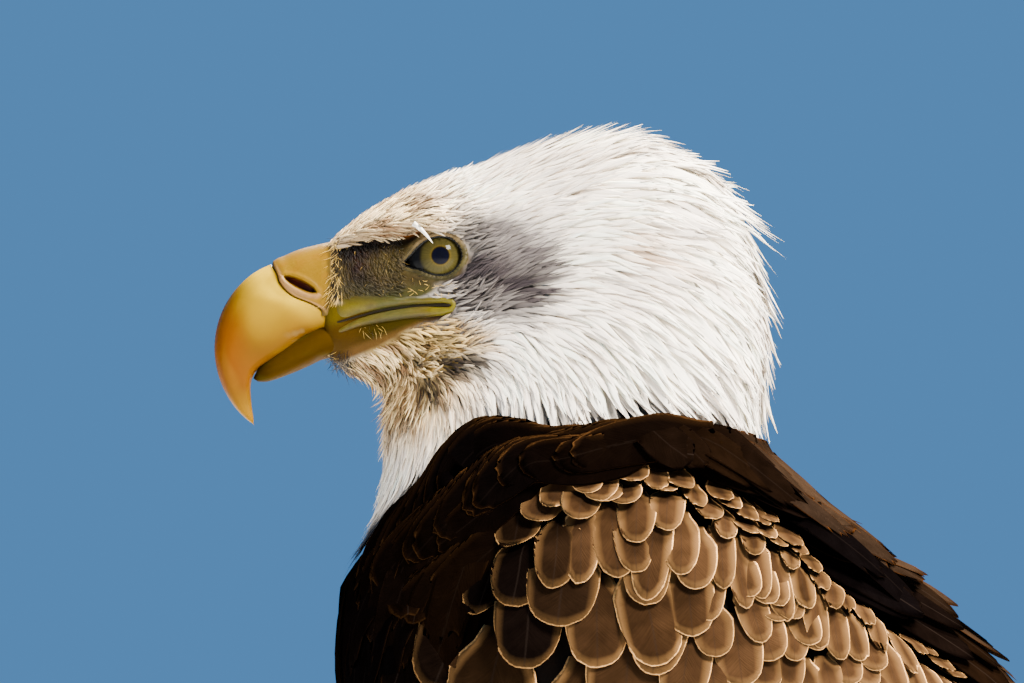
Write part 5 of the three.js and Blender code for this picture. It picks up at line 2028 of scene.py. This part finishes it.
UPPER_EDGE = curve(
    (83, -20), (106, 14), (149, 28), (194, 35), (247, 36), (302, 33), (414, 18), (533, -6), (641, -30)
)
LOWER_EDGE = curve(
    (95, -67), (116, -89), (153, -105), (200, -113), (314, -111), (430, -92), (532, -66), (654, -42)
)


def scallop_width(points):
    """Small feathers along the upper edge, larger ones down and forward."""
    along, across = wing_measures(points)
    down = UPPER_EDGE(along) - across
    size = (6.3 + 0.15 * np.clip(down, 0, 110)) * (1.4 - 0.55 * smooth(30, 110, points[..., 0]))
    return size + 5 * smooth(190, 260, along)


def scallop_colour(points):
    """Brown middles, darker on the front of the shoulder and far back on the wing."""
    s = bpy.context.scene.eagle_plumage
    x, z = points[:, 0], points[:, 2]
    colour = blend(
        s.scallop,
        (s.brown, 0.25 + 0.25 * mottle(points, 18, 191)),
        (s.blackish, 0.95 * oval(x, z, (14, -112), 27, 34, 0.5)),
    )
    colour = colour * (1 + 0.25 * smooth(60, 100, x))[:, None]
    return blend(colour, (s.brown, 0.8 * smooth(190, 290, wing_measures(points)[0])))


def scallop_rims(points):
    """Worn pale edges, duller along the top, on the front of the shoulder and far back."""
    s = bpy.context.scene.eagle_plumage
    x, z = points[:, 0], points[:, 2]
    return blend(
        s.fringe,
        (s.russet, 0.7 * smooth(200, 320, wing_measures(points)[0])),
        (s.scallop, 0.6 * smooth(-9, -3, z - WING_TOP(x))),
        (s.brown, 0.7 * oval(x, z, (12, -112), 24, 32, 0.5)),
    )


def covert_fray(points):
    """Small feathers end in a clean curve, but are downy along the top of the wing."""
    x, z = points[:, 0], points[:, 2]
    return 0.012 + 0.07 * smooth(-11, -3, z - WING_TOP(x)) * smooth(45, 60, x)


def make_wing_coverts():
    """The scalloped rows of small feathers over each shoulder and wing."""
    material = contour_material("wing_covert_keratin", 0.4, 0.3, 0.7, 0.15, 3.4)
    for word, side in SIDES:
        roots = scatter(
            lambda p: scallop_width(p) * 0.74,
            lambda p, n, z: (
                ((z == WING) | on_wing(p))
                & ((p[:, 2] < WING_TOP(p[:, 0])) | (p[:, 0] > 200))
                & (n[:, 1] * side > -0.15)
                & (p[:, 1] * side > 0)
                & (wing_measures(p)[0] < 330)
            ),
            200 + side,
            flat=True,
        )
        piece = plain_coat(
            f"wing_coverts_{word}", roots, WING_LIE,
            lambda p: scallop_width(p) * 1.9 + 8 * smooth(200, 300, wing_measures(p)[0]),
            lambda p: scallop_width(p) * 1.32,
            210 + side, stations=8, columns=11, blunt=0.34, fray=covert_fray, camber=0.12, yaw=0.11,
            roll=0.08, outline=contour_outline, lift=curve((0, 0.1), (1, 1.1)), side_on=0.8,
            colour=scallop_colour, rims=scallop_rims, streak=0.14, loose=0.08,
        )
        finish_piece(piece, material, "brown_plumage")


def make_quills():
    """The long quills of each folded wing: secondaries under the coverts, primaries behind them."""
    s = bpy.context.scene.eagle_plumage
    material = contour_material("quill_keratin", 0.5, 0.8, 0.6, 0.25, 3.0)
    rng = np.random.default_rng(221)
    long_quills, short_quills, stations = 10, 14, 16
    t = np.linspace(0, 1, stations)
    # Secondaries, from the lowest to the one by the back.
    i = np.linspace(0, 1, short_quills)
    roots = wing_place(190 + 40 * i, -92 + 112 * i)
    along = 388 + 88 * np.sin(math.pi * (0.1 + 0.62 * i))
    room = UPPER_EDGE(along) - LOWER_EDGE(along) - 18
    tips = wing_place(along, LOWER_EDGE(along) + 9 + room * i)
    # Primaries behind them, the longest last.
    j = np.linspace(0, 1, long_quills)
    along = 505 + 149 * j**0.9
    middle = (LOWER_EDGE(along) + UPPER_EDGE(along)) / 2
    spread = (UPPER_EDGE(along) - LOWER_EDGE(along)) / 2 - 4
    long_tips = wing_place(along, middle + spread * (0.8 - 1.5 * j) * (1 - smooth(0.8, 1, j)))
    roots = np.concatenate([wing_place(330 + 0 * j, -70 + 74 * (1 - j)), roots])
    tips = np.concatenate([long_tips, tips])
    depth = np.concatenate([4.5 + 2.5 * j, 5.0 - 4.0 * i])
    half = np.repeat([24.0, 26.0], [long_quills, short_quills])[:, None] / 2 * quill_outline(t)
    flat = roots[:, None] * (1 - t)[:, None] + tips[:, None] * t[:, None]
    flat = flat + UPWARD * 5 * np.sin(math.pi * t)[:, None]
    count = len(roots)
    for word, side in SIDES:
        parts = ("coverts", "secondaries", "primaries")
        base = copy_nodes("wing_form", [f"wing_{word}_{part}" for part in parts])
        remesh(base, 3.0, 0.4)
        put(base, relax(base, places(base), 6))
        form = Ground(base, np.zeros(len(base.data.vertices)))
        bpy.data.objects.remove(base)
        over = np.array([level_with_skin(line, side, form) for line in flat])
        for line in over:
            line[:, 1] = relax_line(line[:, 1], 6)
        ups = form.nearest(over.reshape(-1, 3))[1].reshape(over.shape)
        ups[..., 1] = side * np.maximum(np.abs(ups[..., 1]), 0.5)
        ups = unit(ups)
        lines = over - ups * (depth[:, None] * (1 - 0.3 * t))[..., None]
        tint = np.array(s.blackish) * rng.uniform(0.85, 1.3, (count, 1, 1))
        # Russet rims: a painted sunlit edge.
        rims = np.tile(np.array(s.russet) * 0.7, (count, 1))
        anchor = np.stack([np.linspace(0.02, 0.98, count), np.full(count, 0.5)], axis=1)
        reach = strips(rng, count, 11, 0.1, 0.003)
        name, tilt = f"wing_quills_{word}", rng.normal(0, 0.03, count)
        piece = feathers(name, lines, ups, half, reach, 0.1, tilt, tint, rims, anchor)
        finish_piece(piece, material, "brown_plumage", f"wing_{word}_primaries")


# ---------- tail ----------
TAIL_TURN = math.radians(47)
TAIL_ROOT = np.array([262.0, 0.0, -343.0])
TAIL_AHEAD = np.array([math.cos(TAIL_TURN), 0, -math.sin(TAIL_TURN)])
TAIL_UP = np.array([math.sin(TAIL_TURN), 0, math.cos(TAIL_TURN)])


def make_tail():
    """Twelve broad white quills, the middle pair on top."""
    s = bpy.context.scene.eagle_plumage
    rng = np.random.default_rng(231)
    count, stations = 12, 18
    t = np.linspace(0, 1, stations)
    beside = np.linspace(-1, 1, count)[:, None]  # from the left edge of the tail to the right
    y = beside * (17 + 21 * t)
    arch = 51  # mm: half the width that the tail's low arch is drawn over
    long = 268 - 26 * np.abs(beside * 0.85) ** 2.2
    along = -10 + (long + 10) * t
    level = 1.8 - 4.125 * np.abs(beside) - 9 * (y / arch) ** 2 + 0.35 * (beside > 0)
    lines = TAIL_ROOT + along[..., None] * TAIL_AHEAD + level[..., None] * TAIL_UP + y[..., None] * (0, 1, 0)
    ups = unit(TAIL_UP + y[..., None] / arch * 0.33 * (0, 1, 0))
    half = np.full((count, 1), 16.0) * quill_outline(t)
    tint = np.array(s.white) * rng.uniform(0.9, 1.02, (count, 1, 1))
    rims = np.tile(np.array(s.white) * 0.95, (count, 1))
    anchor = np.stack([np.linspace(0.02, 0.98, count), np.full(count, 0.5)], axis=1)
    reach = strips(rng, count, 13, 0.1, 0.003)
    piece = feathers(
        "tail_feathers", lines, ups, half, reach, 0.07, rng.normal(0, 0.02, count), tint, rims, anchor
    )
    material = contour_material("tail_quill_keratin", 0.3, 0.25, 0.5, 0.1, 2.0, 0.1)
    finish_piece(piece, material, "white_plumage", "tail")


# ---------- floor, light and camera ----------
SENSOR = 36  # mm across
FRAME_WIDTH = 0.320  # metres seen from side to side, at the bird


def make_stage():
    """A pale floor, soft lamps and the camera."""
    s = bpy.context.scene.eagle_stage
    deselect()
    bpy.ops.mesh.primitive_grid_add(x_subdivisions=24, y_subdivisions=24, size=14)
    floor = bpy.context.object
    floor.name = "studio_floor"
    material, tree, shader = new_material("painted_floor", {"Roughness": 0.8})
    where = add_node(tree, "TexCoord", {}, "Object")
    grain = add_node(tree, "TexNoise", {"Vector": where, "Scale": 60.0, "Detail": 3.0})
    dull = np.array(s.floor) * 0.97
    colour = add_node(tree, "Mix", {0: grain, 6: (*dull, 1), 7: (*s.floor, 1)}, 2, data_type="RGBA")
    wire(shader, {"Base Color": colour})
    floor.data.materials.append(material)

    world = bpy.data.worlds.new("pale_air")
    bpy.context.scene.world = world
    world.use_nodes = True
    world.node_tree.nodes["Background"].inputs[0].default_value = (*s.air[:], 1)
    world.node_tree.nodes["Background"].inputs[1].default_value = 0.6

    aim = Vector(to_world((30, 0, -60)))
    for name, away, size, power, colour in (
        ("key", (1.3, 0.5, 2.2), 0.7, s.key, (1.0, 0.94, 0.84)),
        ("fill", (1.5, -1.9, 1.9), 0.9, s.fill, (1.0, 0.95, 0.89)),
        ("rim", (0.4, 2.2, 1.5), 1.2, s.key * 0.4, (1.0, 0.97, 0.92)),
    ):
        lamp = bpy.data.objects.new(name, bpy.data.lights.new(name, "AREA"))
        lamp.data.size = size
        lamp.data.energy = power
        lamp.data.color = colour
        lamp.location = aim + Vector(away)
        lamp.rotation_euler = (aim - lamp.location).to_track_quat("-Z", "Y").to_euler()
        bpy.context.collection.objects.link(lamp)

    camera = bpy.data.objects.new("camera", bpy.data.cameras.new("camera"))
    target = Vector(to_world((22.2, 0, -26.7)))
    tilt = math.radians(3)
    camera.location = target + Vector((0, -math.cos(tilt), -math.sin(tilt))) * s.distance
    camera.rotation_euler = (target - camera.location).to_track_quat("-Z", "Y").to_euler()
    camera.data.sensor_width = SENSOR
    camera.data.lens = SENSOR * s.distance / FRAME_WIDTH
    bpy.context.collection.objects.link(camera)
    bpy.context.scene.camera = camera


# ---------- operators ----------
def operator(idname, label, job):
    """An operator that runs one job and fails loudly if the job does."""

    def execute(self, context):
        job()
        return {"FINISHED"}

    return type(
        "EAGLE_OT_" + idname,
        (bpy.types.Operator,),
        {"bl_idname": "eagle." + idname, "bl_label": label, "__doc__": job.__doc__, "execute": execute},
    )


JOBS = (
    ("skin", "Skin", make_skin),
    ("eyes", "Eyes", make_eyes),
    ("lids", "Eyelids", make_lids),
    ("lips", "Gape", make_lips),
    ("bill", "Bill", make_bill),
    ("cere", "Cere", make_cere),
    ("feet", "Feet", make_feet),
    ("claws", "Claws", make_claws),
    ("face_coat", "Face feathers", make_face_coat),
    ("bristles", "Bristles", make_bristles),
    ("brow_feathers", "Brow feathers", make_brow_feathers),
    ("head_coat", "Head feathers", make_head_coat),
    ("neck_coat", "Neck hackles", make_neck_coat),
    ("nape_hackles", "Nape hackles", make_nape_hackles),
    ("collar", "Collar", make_collar),
    ("cape_folds", "Cape folds", make_cape_folds),
    ("body_coat", "Body feathers", make_body_coat),
    ("thigh_coat", "Thigh feathers", make_thigh_coat),
    ("wing_coverts", "Wing coverts", make_wing_coverts),
    ("quills", "Wing quills", make_quills),
    ("tail", "Tail", make_tail),
    ("stage", "Stage", make_stage),
)
OPERATORS = tuple(operator(*job) for job in JOBS)


class EAGLE_PT_build(bpy.types.Panel):
    """Buttons that build the bird, piece by piece."""

    bl_idname = "EAGLE_PT_build"
    bl_label = "Bald Eagle"
    bl_space_type = "VIEW_3D"
    bl_region_type = "UI"
    bl_category = "Eagle"

    def draw(self, context):
        for made in OPERATORS:
            self.layout.operator(made.bl_idname)
        for group in SETTINGS:
            for key in group[1].__annotations__:
                self.layout.prop(getattr(context.scene, group[0]), key)


SETTINGS = (
    ("eagle_plumage", PlumageSettings),
    ("eagle_face", FaceSettings),
    ("eagle_feet", FeetSettings),
    ("eagle_stage", StageSettings),
)
CLASSES = tuple(group for _, group in SETTINGS) + OPERATORS + (EAGLE_PT_build,)


def register():
    for made in CLASSES:
        bpy.utils.register_class(made)
    for name, group in SETTINGS:
        setattr(bpy.types.Scene, name, bpy.props.PointerProperty(type=group))


def unregister():
    for name, _ in SETTINGS:
        delattr(bpy.types.Scene, name)
    for made in reversed(CLASSES):
        bpy.utils.unregister_class(made)


def main():
    register()
    for made in OPERATORS:
        group, call = made.bl_idname.split(".")
        getattr(getattr(bpy.ops, group), call)()


if __name__ == "__main__":
    main()
